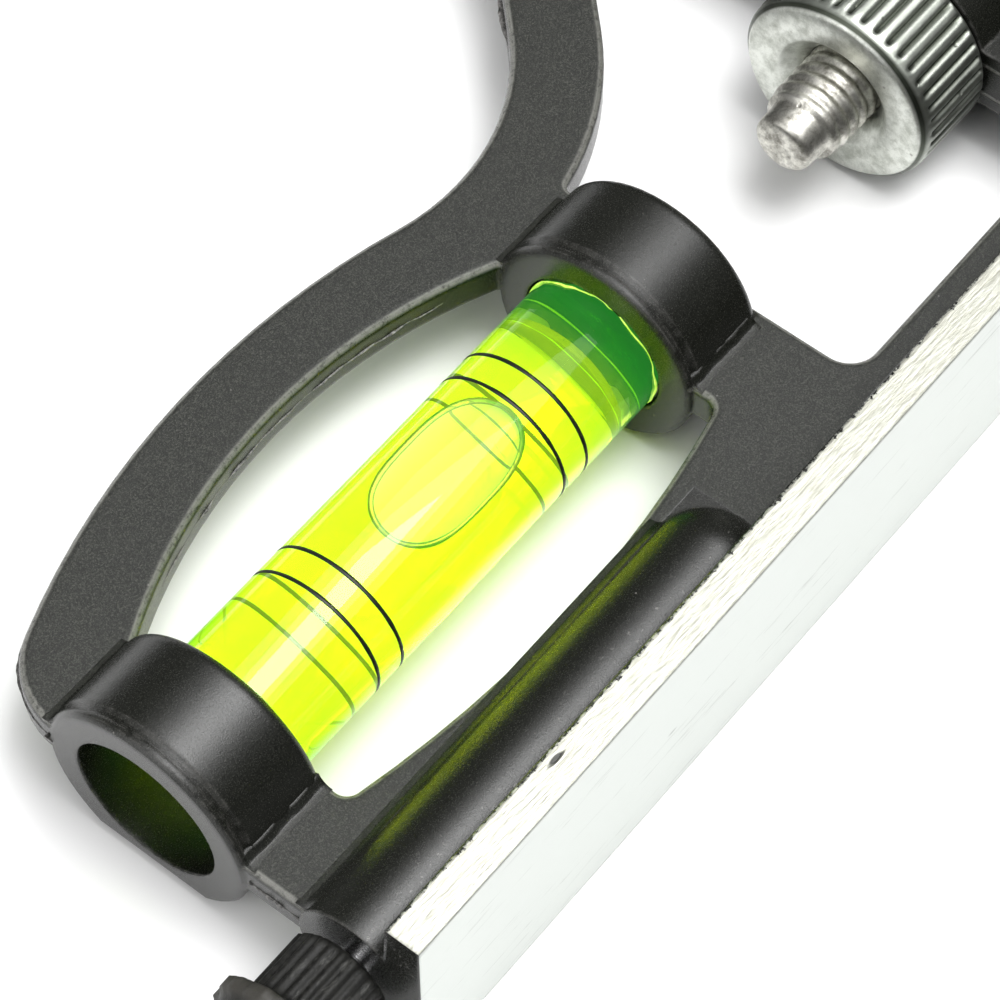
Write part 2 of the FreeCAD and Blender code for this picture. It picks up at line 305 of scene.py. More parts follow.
# Fine cast grain: two sizes of noise added, as a 0 to 1 mask and as a height.
def makeGrainGroup():
    group, entry, leave = newGroup(
        "castGrain",
        [("Vector", vectorSocket, None), ("Grain Scale", floatSocket, 4.0),
         ("Coarse Scale", floatSocket, 0.6)],
        [("Mask", floatSocket), ("Height", floatSocket)])
    fine = noise(group, entry.outputs["Vector"], entry.outputs["Grain Scale"], 3.0, 0.7)
    coarse = noise(group, entry.outputs["Vector"], entry.outputs["Coarse Scale"], 2.0)
    fleck = ramp(group, fine, 0.38, 0.68)
    cloud = times(group, coarse, 0.5)
    height = plus(group, fine, cloud)
    feed(group, leave, "Mask", fleck)
    feed(group, leave, "Height", height)
    return group


# Long fine scratches: noise squeezed across the stroke, thresholded, and broken up by a coarser noise.
def makeScratchGroup():
    group, entry, leave = newGroup(
        "scratches",
        [("Vector", vectorSocket, None), ("Fineness", floatSocket, 6.0), ("Amount", floatSocket, 0.5)],
        [("Mask", floatSocket), ("Height", floatSocket)])
    lines = noise(group, entry.outputs["Vector"], entry.outputs["Fineness"], 4.0, 0.75)
    breaks = noise(group, entry.outputs["Vector"], 0.35, 1.0)
    threshold = ramp(group, entry.outputs["Amount"], 0.0, 1.0, 0.72, 0.42)
    over = minus(group, lines, threshold)
    sharp = times(group, over, 9.0, clamp=True)
    mask = times(group, sharp, ramp(group, breaks, 0.35, 0.6))
    feed(group, leave, "Mask", mask)
    feed(group, leave, "Height", lines)
    return group


# Edge wear: how far the rounded normal leans from the true one, broken by noise. It also gives that normal.
def makeWearGroup():
    group, entry, leave = newGroup(
        "edgeWear",
        [("Vector", vectorSocket, None), ("Radius", floatSocket, 0.0003), ("Amount", floatSocket, 0.5)],
        [("Mask", floatSocket), ("Normal", vectorSocket)])
    bevel = node(group, "ShaderNodeBevel", {"Radius": entry.outputs["Radius"]}, samples=4)
    true = node(group, "ShaderNodeNewGeometry").outputs["Normal"]
    lean = node(group, "ShaderNodeVectorMath", {0: bevel.outputs[0], 1: true}, operation="DOT_PRODUCT")
    edge = ramp(group, lean.outputs["Value"], 0.985, 0.80)
    breaks = noise(group, entry.outputs["Vector"], 1.6, 4.0)
    patch = ramp(group, breaks, 0.62, 0.40)
    worn = times(group, edge, patch)
    worn = times(group, worn, entry.outputs["Amount"], clamp=True)
    feed(group, leave, "Mask", worn)
    feed(group, leave, "Normal", bevel.outputs[0])
    return group


# Sparse round specks: the near zone of random cell points, kept only in some cells.
def makeSpeckGroup():
    group, entry, leave = newGroup(
        "specks",
        [("Vector", vectorSocket, None), ("Spacing Scale", floatSocket, 0.6), ("Size", floatSocket, 0.12),
         ("Share", floatSocket, 0.3)],
        [("Mask", floatSocket)])
    cells = node(group, "ShaderNodeTexVoronoi", {
        "Vector": entry.outputs["Vector"], "Scale": entry.outputs["Spacing Scale"]})
    inner = times(group, entry.outputs["Size"], 0.5)
    near = node(group, "ShaderNodeMapRange", {
        "Value": cells.outputs["Distance"], "From Min": entry.outputs["Size"], "From Max": inner}, clamp=True)
    shade = node(group, "ShaderNodeSeparateColor", {0: cells.outputs["Color"]}).outputs[0]
    kept = math2(group, "LESS_THAN", shade, entry.outputs["Share"])
    mask = times(group, near.outputs["Result"], kept)
    feed(group, leave, "Mask", mask)
    return group


castGrain = makeGrainGroup()
scratches = makeScratchGroup()
edgeWear = makeWearGroup()
specks = makeSpeckGroup()


# Paint or etching that is rubbed through in places.
def inkMaterial(name, scale, rubbed, ink, bare, roughness):
    material, tree, shader = newMaterial(name)
    rub = noise(tree, objectPlace(tree), scale, 4.0)
    feed(tree, shader, "Base Color", mixColor(tree, ramp(tree, rub, *rubbed), ink, bare))
    feed(tree, shader, "Roughness", ramp(tree, rub, 0.3, 0.7, *roughness))
    return material


# Wire or a turned needle: bright metal between fine marks.
def drawnMetal(name, stretch, fineness, amount, light, dark, roughness):
    material, tree, shader = newMaterial(name)
    shader.inputs["Metallic"].default_value = 1.0
    marks = useGroup(tree, scratches, {
        "Vector": objectPlace(tree, stretch), "Fineness": fineness, "Amount": amount})
    feed(tree, shader, "Base Color", mixColor(tree, marks.outputs["Mask"], light, dark))
    feed(tree, shader, "Roughness", ramp(tree, marks.outputs["Height"], 0.3, 0.7, *roughness))
    return material


# head: black paint over cast metal, ground bare on its two faces and their rims

headLook = {
    "paintDark": (0.0030, 0.0033, 0.0024),
    "paintLight": (0.020, 0.021, 0.017),
    "paintRoughness": (0.19, 0.30),
    "webRoughness": (0.34, 0.50),
    "webDark": (0.0085, 0.0092, 0.0072),
    "webLight": (0.064, 0.067, 0.055),
    # rub colour: rubbed paint and a painted highlight on the web's rounded edges
    "rubAndHighlightColor": (0.26, 0.26, 0.235),
    "wornColor": (0.34, 0.33, 0.31),
    "groundColor": (0.58, 0.605, 0.58),
    "groundShade": (0.42, 0.44, 0.42),
    "stripColor": (0.68, 0.69, 0.62),
    "stripShade": (0.50, 0.50, 0.43),
    "grainScale": 11.0,
    "bumpDistance": 0.00006,
    "edgeRadius": 0.00038,
    "bossRadius": 0.00095,
    "stripWidth": 2.36,
    "miterStripWidth": 2.5,
    "halfThickness": 7.21,
    "miterOffset": 24.8,
    "miterFrom": 71.4,
    "blur": 0.03,
    "wander": (-0.22, 0.30),
    "wear": 0.28,
    "bossWear": 0.10,
    "lowerBossEnd": 7.5,
    "upperBossStart": 41.75,
    "upperBossEnd": 49.35,
    "housingBack": 8.75,
    "housingEnd": 36.7,
    "cheekStart": 79.8,
    "dentColor": (0.10, 0.10, 0.095),
}


def headMaterial():
    look = headLook
    material, tree, shader = newMaterial("blackPaintOnCastMetal")
    place = objectPlace(tree)
    split = node(tree, "ShaderNodeSeparateXYZ", {0: place})
    x, y, z = split.outputs
    ragged = noise(tree, place, 2.3, 5.0, 0.7)
    wander = ramp(tree, ragged, 0.30, 0.70, *look["wander"])
    blur = look["blur"]

    # distance in from each machined face, in millimetres
    fromMiter = minus(tree, plus(tree, x, look["miterOffset"]), y)
    fromMiter = times(tree, fromMiter, math.sqrt(0.5))
    onArmEnd = above(tree, plus(tree, x, y), look["miterFrom"] - 0.05)
    height = magnitude(tree, z)
    onRim = above(tree, height, look["halfThickness"] - 0.10, blur)
    nearSquare = below(tree, plus(tree, y, wander), look["stripWidth"], blur)
    nearMiter = below(tree, plus(tree, fromMiter, wander), look["miterStripWidth"], blur)
    nearMiter = times(tree, nearMiter, onArmEnd)
    rim = times(tree, onRim, larger(tree, nearSquare, nearMiter))
    underside = below(tree, z, 0.015 - look["halfThickness"], 0.005)
    squareFace = ramp(tree, y, 0.05, 0.02)
    miterFace = times(tree, ramp(tree, fromMiter, 0.06, 0.03), onArmEnd)
    bare = larger(tree, squareFace, miterFace)
    bare = larger(tree, bare, rim)
    bare = larger(tree, bare, underside)

    # the bosses' outer edges are cast with a larger round than the rest
    along = minus(tree, x, headLow.x / millimetre)
    radial = axisDistance(tree, y, z, vialAxisY)
    bossRim = times(tree, above(tree, radial, 6.1, 0.2), below(tree, radial, 7.45))
    onUpperBoss = times(tree, above(tree, along, look["upperBossStart"] - 0.10),
                        below(tree, along, look["upperBossEnd"] + 0.10))
    bossSpan = larger(tree, below(tree, along, look["lowerBossEnd"] + 0.05), onUpperBoss)
    bossRim = times(tree, bossRim, bossSpan)
    wear = useGroup(tree, edgeWear, {
        "Vector": place, "Radius": ramp(tree, bossRim, 0.0, 1.0, look["edgeRadius"], look["bossRadius"]),
        "Amount": ramp(tree, bossRim, 0.0, 1.0, look["wear"], look["bossWear"])})

    grain = useGroup(tree, castGrain, {
        "Vector": place, "Grain Scale": look["grainScale"], "Coarse Scale": 0.5})
    dust = useGroup(tree, specks, {"Vector": place, "Spacing Scale": 1.1, "Size": 0.09, "Share": 0.10})
    rubbed = noise(tree, place, 2.6, 6.0, 0.7)
    chipZone = times(tree, ramp(tree, y, 5.4, 3.0), ramp(tree, height, 3.0, 4.2))
    chips = times(tree, above(tree, rubbed, 0.63, 0.03), chipZone)

    # bosses, bore and housing also cross the web's height, so they are masked out by their places
    fromVial = magnitude(tree, minus(tree, y, vialAxisY / millimetre))
    besideBoss = above(tree, fromVial, 7.325, 0.075)
    betweenBosses = times(tree, above(tree, along, look["lowerBossEnd"]),
                          below(tree, along, look["upperBossStart"]))
    offBosses = larger(tree, betweenBosses, above(tree, along, look["upperBossEnd"]))
    offBosses = larger(tree, besideBoss, offBosses)
    offHousing = larger(tree, above(tree, y, look["housingBack"]),
                        above(tree, along, look["housingEnd"], 0.1))
    webPlace = times(tree, offBosses, offHousing)
    webPlace = times(tree, webPlace, below(tree, along, look["cheekStart"], 0.1))
    onWeb = times(tree, above(tree, height, 1.43, blur), below(tree, height, 1.60))
    onWeb = times(tree, onWeb, webPlace)
    sparkle = ramp(tree, grain.outputs["Mask"], 0.35, 0.95)
    smoothPaint = mixColor(tree, grain.outputs["Mask"], look["paintDark"], look["paintLight"])
    paint = mixColor(tree, onWeb, smoothPaint, mixColor(tree, sparkle, look["webDark"], look["webLight"]))
    # The web's rounded edges, top and bottom, are lightened in patches: partly rubbed paint, partly a painted
    # highlight along the edge.
    roundedEdge = times(tree, above(tree, height, 1.21, 0.09), below(tree, height, 1.47, 0.02))
    roundedEdge = times(tree, roundedEdge, webPlace)
    rubbedAndLitEdge = times(tree, roundedEdge, ramp(tree, rubbed, 0.26, 0.52))
    paint = mixColor(tree, times(tree, rubbedAndLitEdge, 0.6), paint, look["rubAndHighlightColor"])
    marks = larger(tree, wear.outputs["Mask"], times(tree, dust.outputs["Mask"], 0.35))
    marks = larger(tree, marks, times(tree, chips, 0.8))
    painted = mixColor(tree, marks, paint, look["wornColor"])

    lengthwise = objectPlace(tree, (60, 1000, 1400))
    onFace = useGroup(tree, scratches, {"Vector": lengthwise, "Fineness": 1.8, "Amount": 0.45})
    diagonal = objectPlace(tree, (420, 2600, 900), (0, 0, math.radians(52)))
    onStrip = useGroup(tree, scratches, {"Vector": diagonal, "Fineness": 1.4, "Amount": 0.6})
    ground = larger(tree, times(tree, onFace.outputs["Mask"], bare),
                    times(tree, onStrip.outputs["Mask"], rim))
    dents = useGroup(tree, specks, {
        "Vector": objectPlace(tree, (330, 1000, 1000)), "Spacing Scale": 0.32, "Size": 0.085, "Share": 0.30})
    metal = mixColor(tree, ground, look["groundColor"], look["groundShade"])
    streak = larger(tree, onStrip.outputs["Mask"], ramp(tree, onStrip.outputs["Height"], 0.62, 0.40))
    metal = mixColor(tree, rim, metal, mixColor(tree, streak, look["stripColor"], look["stripShade"]))
    metal = mixColor(tree, dents.outputs["Mask"], metal, look["dentColor"])

    color = mixColor(tree, bare, painted, metal)
    feed(tree, shader, "Base Color", color)
    feed(tree, shader, "Metallic", bare)
    smoothRough = ramp(tree, grain.outputs["Mask"], 0.0, 1.0, *look["paintRoughness"])
    grainyRough = ramp(tree, grain.outputs["Mask"], 0.0, 1.0, *look["webRoughness"])
    paintRough = node(tree, "ShaderNodeMix", {0: onWeb, 2: smoothRough, 3: grainyRough}).outputs[0]
    metalRough = ramp(tree, ground, 0.0, 1.0, 0.42, 0.60)
    rough = node(tree, "ShaderNodeMix", {0: bare, 2: paintRough, 3: metalRough})
    feed(tree, shader, "Roughness", rough.outputs[0])

    paintHeight = times(tree, grain.outputs["Height"], minus(tree, 1.0, bare))
    paintHeight = times(tree, paintHeight, ramp(tree, onWeb, 0.0, 1.0, 0.35, 1.0))
    groundHeight = times(tree, onStrip.outputs["Height"], times(tree, rim, 0.8))
    faceHeight = times(tree, onFace.outputs["Height"], times(tree, bare, 0.25))
    total = plus(tree, paintHeight, plus(tree, groundHeight, faceHeight))
    total = minus(tree, total, times(tree, dents.outputs["Mask"], bare))
    bumpNormal(tree, shader, total, look["bumpDistance"], 0.8, wear.outputs["Normal"])
    return material


def finishNode(name, material):
    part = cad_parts[name]
    part.data.materials.clear()
    part.data.materials.append(material)


headPaint = headMaterial()
finishNode("head_casting", headPaint)
print("head painted")


# casting flash: a thin torn fin along the parting line

flashLook = {"reach": 0.34, "thickness": 0.11, "step": 0.35}


# Points round a circle, in the order of the angles.
def arcPoints(center, radius, fromDegrees, toDegrees, step):
    count = max(3, int(abs(math.radians(toDegrees - fromDegrees)) * radius / step))
    angle = np.radians(np.linspace(fromDegrees, toDegrees, count))
    return np.stack([center[0] + radius * np.cos(angle), center[1] + radius * np.sin(angle)], -1)


def linePoints(start, end, step):
    count = max(2, int(math.dist(start, end) / step))
    t = np.linspace(0, 1, count)[:, None]
    return np.array(start) * (1 - t) + np.array(end) * t


webShape = {
    "inset": 0.2, "cornerRadius": 6.0, "backRadius": 56.0, "backX": 24.7, "backTop": 37.4,
    "notchRadius": 16.6, "notchX": 45.26, "miterStart": 63.4, "openingMiddle": 25.2,
    "bossFoot": 12.9, "bossTop": 28.4, "endFoot": 9.0, "openingStart": 12.0, "openingEnd": 38.5,
    "openingTop": 32.05, "openingTopRadius": 40.0, "openingBottom": 9.42, "openingBottomRadius": 78.0,
}


# The back of the web in millimetres from the scriber end: end, corner, long arc, notch, 45 degree arm.
def webOutline(step):
    s = webShape
    back = np.array([s["backX"], s["backTop"] - s["backRadius"]])
    reach = s["backRadius"] + s["notchRadius"]
    notch = np.array([s["notchX"], back[1] + math.sqrt(reach ** 2 - (s["notchX"] - back[0]) ** 2)])
    cornerX = s["inset"] + s["cornerRadius"]
    drop = math.sqrt((s["backRadius"] - s["cornerRadius"]) ** 2 - (back[0] - cornerX) ** 2)
    corner = np.array([cornerX, back[1] + drop])
    out = corner - back
    cornerAngle = math.degrees(math.atan2(out[1], out[0]))
    joinAngle = math.degrees(math.atan2(notch[1] - back[1], notch[0] - back[0]))
    armStart = notch + s["notchRadius"] * math.sqrt(0.5) * np.array([1, -1])
    armEnd = armStart + (s["miterStart"] - armStart[0])
    return np.vstack([
        linePoints((s["inset"], s["bossTop"]), (s["inset"], corner[1]), step),
        arcPoints(corner, s["cornerRadius"], 180, cornerAngle, step),
        arcPoints(back, s["backRadius"], cornerAngle, joinAngle, step),
        arcPoints(notch, s["notchRadius"], joinAngle - 180, -45, step),
        linePoints(armStart, armEnd, step),
    ])


# A thin fin standing out from an outline: a flat diamond section whose tip wanders in and out.
def finAlong(name, outline, side, seed, reach, thickness):
    keep = np.append(True, np.linalg.norm(np.diff(outline, axis=0), axis=1) > 0.02)
    outline = outline[keep]
    ahead = np.gradient(outline, axis=0)
    ahead /= np.linalg.norm(ahead, axis=1)[:, None]
    outward = side * np.stack([-ahead[:, 1], ahead[:, 0]], -1)
    place = np.linspace(0, 1, len(outline))
    tip = 0.45 + 0.55 * smoothNoise(place, 23, seed) + 0.12 * smoothNoise(place, 211, seed + 1)
    tip = np.clip(reach * tip, 0.02, None)
    lift = 0.08 * smoothNoise(place, 31, seed + 2)
    root = outline - outward * 0.25
    end = outline + outward * tip[:, None]
    half = thickness / 2
    section = [
        np.column_stack([root, lift - half * 1.6]),
        np.column_stack([end, lift - half * 0.5]),
        np.column_stack([end, lift + half * 0.5]),
        np.column_stack([root, lift + half * 1.6]),
    ]
    points = np.stack(section, 1)
    points[:, :, 0] += headLow.x / millimetre
    faces = gridFaces(len(outline), 4, wrapColumns=True)
    faces = (faces if side > 0 else faces[:, ::-1]).tolist()
    lastRing = (len(outline) - 1) * 4
    capOrder = [0, 1, 2, 3] if side > 0 else [3, 2, 1, 0]
    faces.append(capOrder[::-1])
    faces.append([lastRing + i for i in capOrder])
    return addMesh(name, points.reshape(-1, 3) * millimetre, faces, smooth=False)


def flashMaterial():
    material, tree, shader = newMaterial("wornFlash")
    place = objectPlace(tree)
    grain = useGroup(tree, castGrain, {"Vector": place, "Grain Scale": 3.0, "Coarse Scale": 0.8})
    color = mixColor(tree, grain.outputs["Mask"], (0.03, 0.03, 0.028), (0.28, 0.27, 0.26))
    feed(tree, shader, "Base Color", color)
    feed(tree, shader, "Roughness", ramp(tree, grain.outputs["Mask"], 0, 1, 0.35, 0.55))
    bumpNormal(tree, shader, grain.outputs["Height"], 0.00004, 0.6)
    return material


def buildFlash():
    material = flashMaterial()
    s = webShape
    span = np.linspace(s["openingStart"], s["openingEnd"], 90)
    topCenter = s["openingTop"] - s["openingTopRadius"]
    topY = topCenter + np.sqrt(s["openingTopRadius"] ** 2 - (span - s["openingMiddle"]) ** 2)
    lowCenter = s["openingBottom"] + s["openingBottomRadius"]
    lowY = lowCenter - np.sqrt(s["openingBottomRadius"] ** 2 - (span - s["openingMiddle"]) ** 2)
    foot = linePoints((s["inset"], s["endFoot"]), (s["inset"], s["bossFoot"]), flashLook["step"])
    runs = [
        ("flashEndFoot", foot, 1, 5, 0.22),
        ("flashBack", webOutline(flashLook["step"]), 1, 3, flashLook["reach"]),
        ("flashOpeningTop", np.stack([span, topY], -1), -1, 11, 0.16),
        ("flashOpeningFoot", np.stack([span, lowY], -1), 1, 17, 0.14),
    ]
    for name, outline, side, seed, reach in runs:
        fin = finAlong(name, outline, side, seed, reach, flashLook["thickness"])
        fin.data.materials.append(material)
        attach(fin, "head")


filletLook = {
    "size": 0.75, "webTop": 1.5, "bossRadius": 7.53, "housingRadius": 4.0,
    "lowerBoss": (0.3, 7.2), "upperBoss": (42.4, 48.6), "housing": (0.3, 33.2),
}


# A cove along X between a round body and the web: the section is an arc that leaves both smoothly.
def filletAlong(name, span, axisY, radius, side):
    look = filletLook
    size, webTop = look["size"], look["webTop"]
    footY = math.sqrt(radius ** 2 - webTop ** 2)
    upZ = webTop + size
    upY = math.sqrt(radius ** 2 - upZ ** 2)
    t = np.linspace(0, 1, 9)
    low = np.array([footY + size, webTop - 0.01])
    corner = np.array([footY + 0.06 * size, webTop + 0.04 * size])
    high = np.array([upY - 0.01, upZ])
    curve = (1 - t)[:, None] ** 2 * low + 2 * (t * (1 - t))[:, None] * corner + t[:, None] ** 2 * high
    buried = [[upY - 0.5, upZ - 0.3], [footY - 0.5, webTop - 0.4], [footY + size, webTop - 0.3]]
    section = np.vstack([curve, buried])
    stations = np.linspace(*span, 24)
    swell = 1 + 0.10 * smoothNoise(np.linspace(0, 1, 24), 9, int(span[0] * 10 + axisY))
    offset = section - low
    rows = low[None] + offset[None] * np.stack([swell, np.ones_like(swell)], -1)[:, None, :]
    x = np.repeat(stations[:, None], len(section), 1)
    points = np.stack([x, axisY + side * rows[:, :, 0], rows[:, :, 1]], -1)
    points[:, :, 0] += headLow.x / millimetre
    faces = gridFaces(len(stations), len(section), wrapColumns=True)
    faces = faces if side < 0 else faces[:, ::-1]
    cap = list(range(len(section)))[::side]
    lastRing = (len(stations) - 1) * len(section)
    faces = faces.tolist() + [cap, [lastRing + i for i in cap[::-1]]]
    cove = addMesh(name, points.reshape(-1, 3) * millimetre, faces)
    cove.data.materials.append(headPaint)
    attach(cove, "head")


def buildFillets():
    look = filletLook
    vial = vialAxisY / millimetre
    for boss, span in (("Lower", look["lowerBoss"]), ("Upper", look["upperBoss"])):
        for edge, side in (("Foot", -1), ("Back", 1)):
            filletAlong("cove" + boss + "Boss" + edge, span, vial, look["bossRadius"], side)
    scriber = (knobLow.y + knobHigh.y) / 2 / millimetre
    filletAlong("coveHousing", look["housing"], scriber, look["housingRadius"], 1)


buildFlash()
buildFillets()
print("casting flash and coves made")


# level: acrylic body, liquid, bubble, black lines, cement

vialLook = {
    # The glow colours here are painted glow, emission standing in for light in the level; the boss glow is a
    # dim painted shade inside the lower boss.
    "glow": (0.010, 0.095, 0.014),
    "glowStart": 7.1,
    "shadedBossGlow": (0.001, 0.004, 0.001),
    "liquidGlow": (0.10, 0.13, 0.0),
    "plugFace": (0.97, 1.0, 0.20),
    "plugTint": (0.06, 0.40, 0.12),
    "plugFade": 3.4,
    "plugGlow": (0.004, 0.030, 0.006),
    "bubbleGlow": ((0.03, 0.05, 0.15), (0.22, 0.24, 0.38)),
    "rimColors": ((0.006, 0.16, 0.045), (0.10, 0.12, 0.07)),
    "rimRadius": 0.085,
    "rimLean": (0.22, 0.257),
    "glowStrength": 1.0,
    "bodyTint": (0.96, 1.0, 0.52),
    "liquidTint": (0.98, 1.0, 0.30),
    "liquidAbsorb": (0.972, 1.0, 0.02),
    "liquidDensity": 330.0,
    "acrylicIor": 1.49,
    "liquidIor": 1.40,
    "plugIor": 1.02,
    "bubbleIor": 1.16,
    "lineStations": (15.12, 17.30, 32.77, 34.97),
    "lineWidth": 0.27,
    "lineInk": (0.006, 0.008, 0.005),
    "lineWorn": (0.05, 0.07, 0.01),
    "cavityStart": 9.0, "cavityEnd": 38.8, "cavityEndRadius": 3.74, "cavityMiddleRadius": 3.9,
    "bubbleX": 27.5, "bubbleHalf": (5.7, 2.6, 1.6), "bubbleZ": 1.95,
}


# A distance from the scriber end of the head, in metres in the frame.
def headX(millimetres):
    return headLow.x + millimetres * millimetre


# Clear plastic or liquid: refraction, a faint painted glow (emission) that varies over the surface, and
# absorption.
def glassMaterial(name, tint, ior, glow=None, absorb=None, density=0.0):
    material, tree, shader = newMaterial(name)
    shader.inputs["Transmission Weight"].default_value = 1.0
    shader.inputs["IOR"].default_value = ior
    place = objectPlace(tree)
    cloud = noise(tree, place, 0.22, 3.0)
    shade = ramp(tree, cloud, 0.3, 0.7)
    deep = tuple(c * 0.96 for c in tint)
    feed(tree, shader, "Base Color", mixColor(tree, shade, deep, tint))
    fine = useGroup(tree, scratches, {
        "Vector": objectPlace(tree, (120, 1000, 1000)), "Fineness": 1.6, "Amount": 0.25})
    rough = ramp(tree, fine.outputs["Mask"], 0.0, 1.0, 0.0, 0.10)
    feed(tree, shader, "Roughness", rough)
    if glow is not None:
        bright = tuple(min(1.0, c * 1.15) for c in glow)
        alongX = node(tree, "ShaderNodeSeparateXYZ", {0: place}).outputs["X"]
        # The emission is a painted glow standing in for light in the vial; where the vial lies inside the
        # lower boss it is turned down to a dim painted shade.
        outsideBossShade = above(tree, alongX, headLow.x / millimetre + vialLook["glowStart"], 0.5)
        glowing = mixColor(tree, shade, glow, bright)
        feed(tree, shader, "Emission Color", mixColor(tree, outsideBossShade, vialLook["shadedBossGlow"], glowing))
        shader.inputs["Emission Strength"].default_value = vialLook["glowStrength"]
    if absorb is not None:
        volume = node(tree, "ShaderNodeVolumeAbsorption", {"Color": (*absorb, 1.0), "Density": density})
        output = [n for n in tree.nodes if n.type == "OUTPUT_MATERIAL"][0]
        tree.links.new(volume.outputs[0], output.inputs["Volume"])
    return material


def plugMaterial():
    # the plug is cemented in. It runs from clear at its face to deep green towards the boss, and has a faint
    # painted glow in its deep green part.
    look = vialLook
    material, tree, shader = newMaterial("acrylicPlug")
    shader.inputs["Transmission Weight"].default_value = 1.0
    shader.inputs["IOR"].default_value = look["plugIor"]
    place = objectPlace(tree)
    x = node(tree, "ShaderNodeSeparateXYZ", {0: place}).outputs["X"]
    cloud = noise(tree, place, 0.8, 3.0)
    uneven = plus(tree, x, ramp(tree, cloud, 0.3, 0.7, -0.35, 0.35))
    face = headLow.x / millimetre + look["cavityEnd"]
    deep = ramp(tree, uneven, face, face + look["plugFade"])
    feed(tree, shader, "Base Color", mixColor(tree, deep, look["plugFace"], look["plugTint"]))
    feed(tree, shader, "Emission Color", mixColor(tree, deep, (0.0, 0.0, 0.0), look["plugGlow"]))
    shader.inputs["Emission Strength"].default_value = 1.0
    feed(tree, shader, "Roughness", ramp(tree, cloud, 0.3, 0.7, 0.0, 0.06))
    return material


def buildVial():
    look = vialLook
    edge = 0.3 * millimetre
    x0, x1 = vialLow.x, vialHigh.x
    stations = [x0, x0, x0 + edge * 0.3, x0 + edge, x1 - edge, x1 - edge * 0.3, x1, x1]
    radii = [vialRadius * 0.5, vialRadius - edge, vialRadius - edge * 0.3, vialRadius,
             vialRadius, vialRadius - edge * 0.3, vialRadius - edge, vialRadius * 0.5]
    body = turnedPiece("vialBody", stations, profileRadius(radii), vialAxisY, vialAxisZ, 160)
    acrylic = glassMaterial("acrylicBody", look["bodyTint"], look["acrylicIor"], look["glow"])
    body.data.materials.append(acrylic)
    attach(body, "head")
    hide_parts("vial_tube")

    plugStart = headX(look["cavityEnd"]) + 0.06 * millimetre
    plugRadius = look["cavityEndRadius"] * millimetre
    stations = [plugStart, plugStart, plugStart + edge, x1 - edge, x1 - edge]
    radii = [plugRadius * 0.5, plugRadius - edge * 0.4, plugRadius, plugRadius, plugRadius * 0.5]
    plug = turnedPiece("vialPlug", stations, profileRadius(radii), vialAxisY, vialAxisZ, 128)
    plug.data.materials.append(plugMaterial())
    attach(plug, "head")
    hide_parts("vial_end_plug")

    t = np.linspace(-1, 1, 49)
    start, end = headX(look["cavityStart"]), headX(look["cavityEnd"])
    bulge = look["cavityMiddleRadius"] - look["cavityEndRadius"]
    wall = (look["cavityMiddleRadius"] - bulge * t ** 2) * millimetre
    along = (start + end) / 2 + (end - start) / 2 * t
    stations = np.concatenate([[start], along, [end]])
    radii = np.concatenate([[wall[0] * 0.5], wall, [wall[-1] * 0.5]])
    liquid = turnedPiece("vialLiquid", stations, profileRadius(radii), vialAxisY, vialAxisZ, 128)
    liquid.data.materials.append(glassMaterial(
        "levelLiquid", look["liquidTint"], look["liquidIor"] / look["acrylicIor"], look["liquidGlow"],
        look["liquidAbsorb"], look["liquidDensity"]))
    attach(liquid, "head")
    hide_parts("vial_liquid")


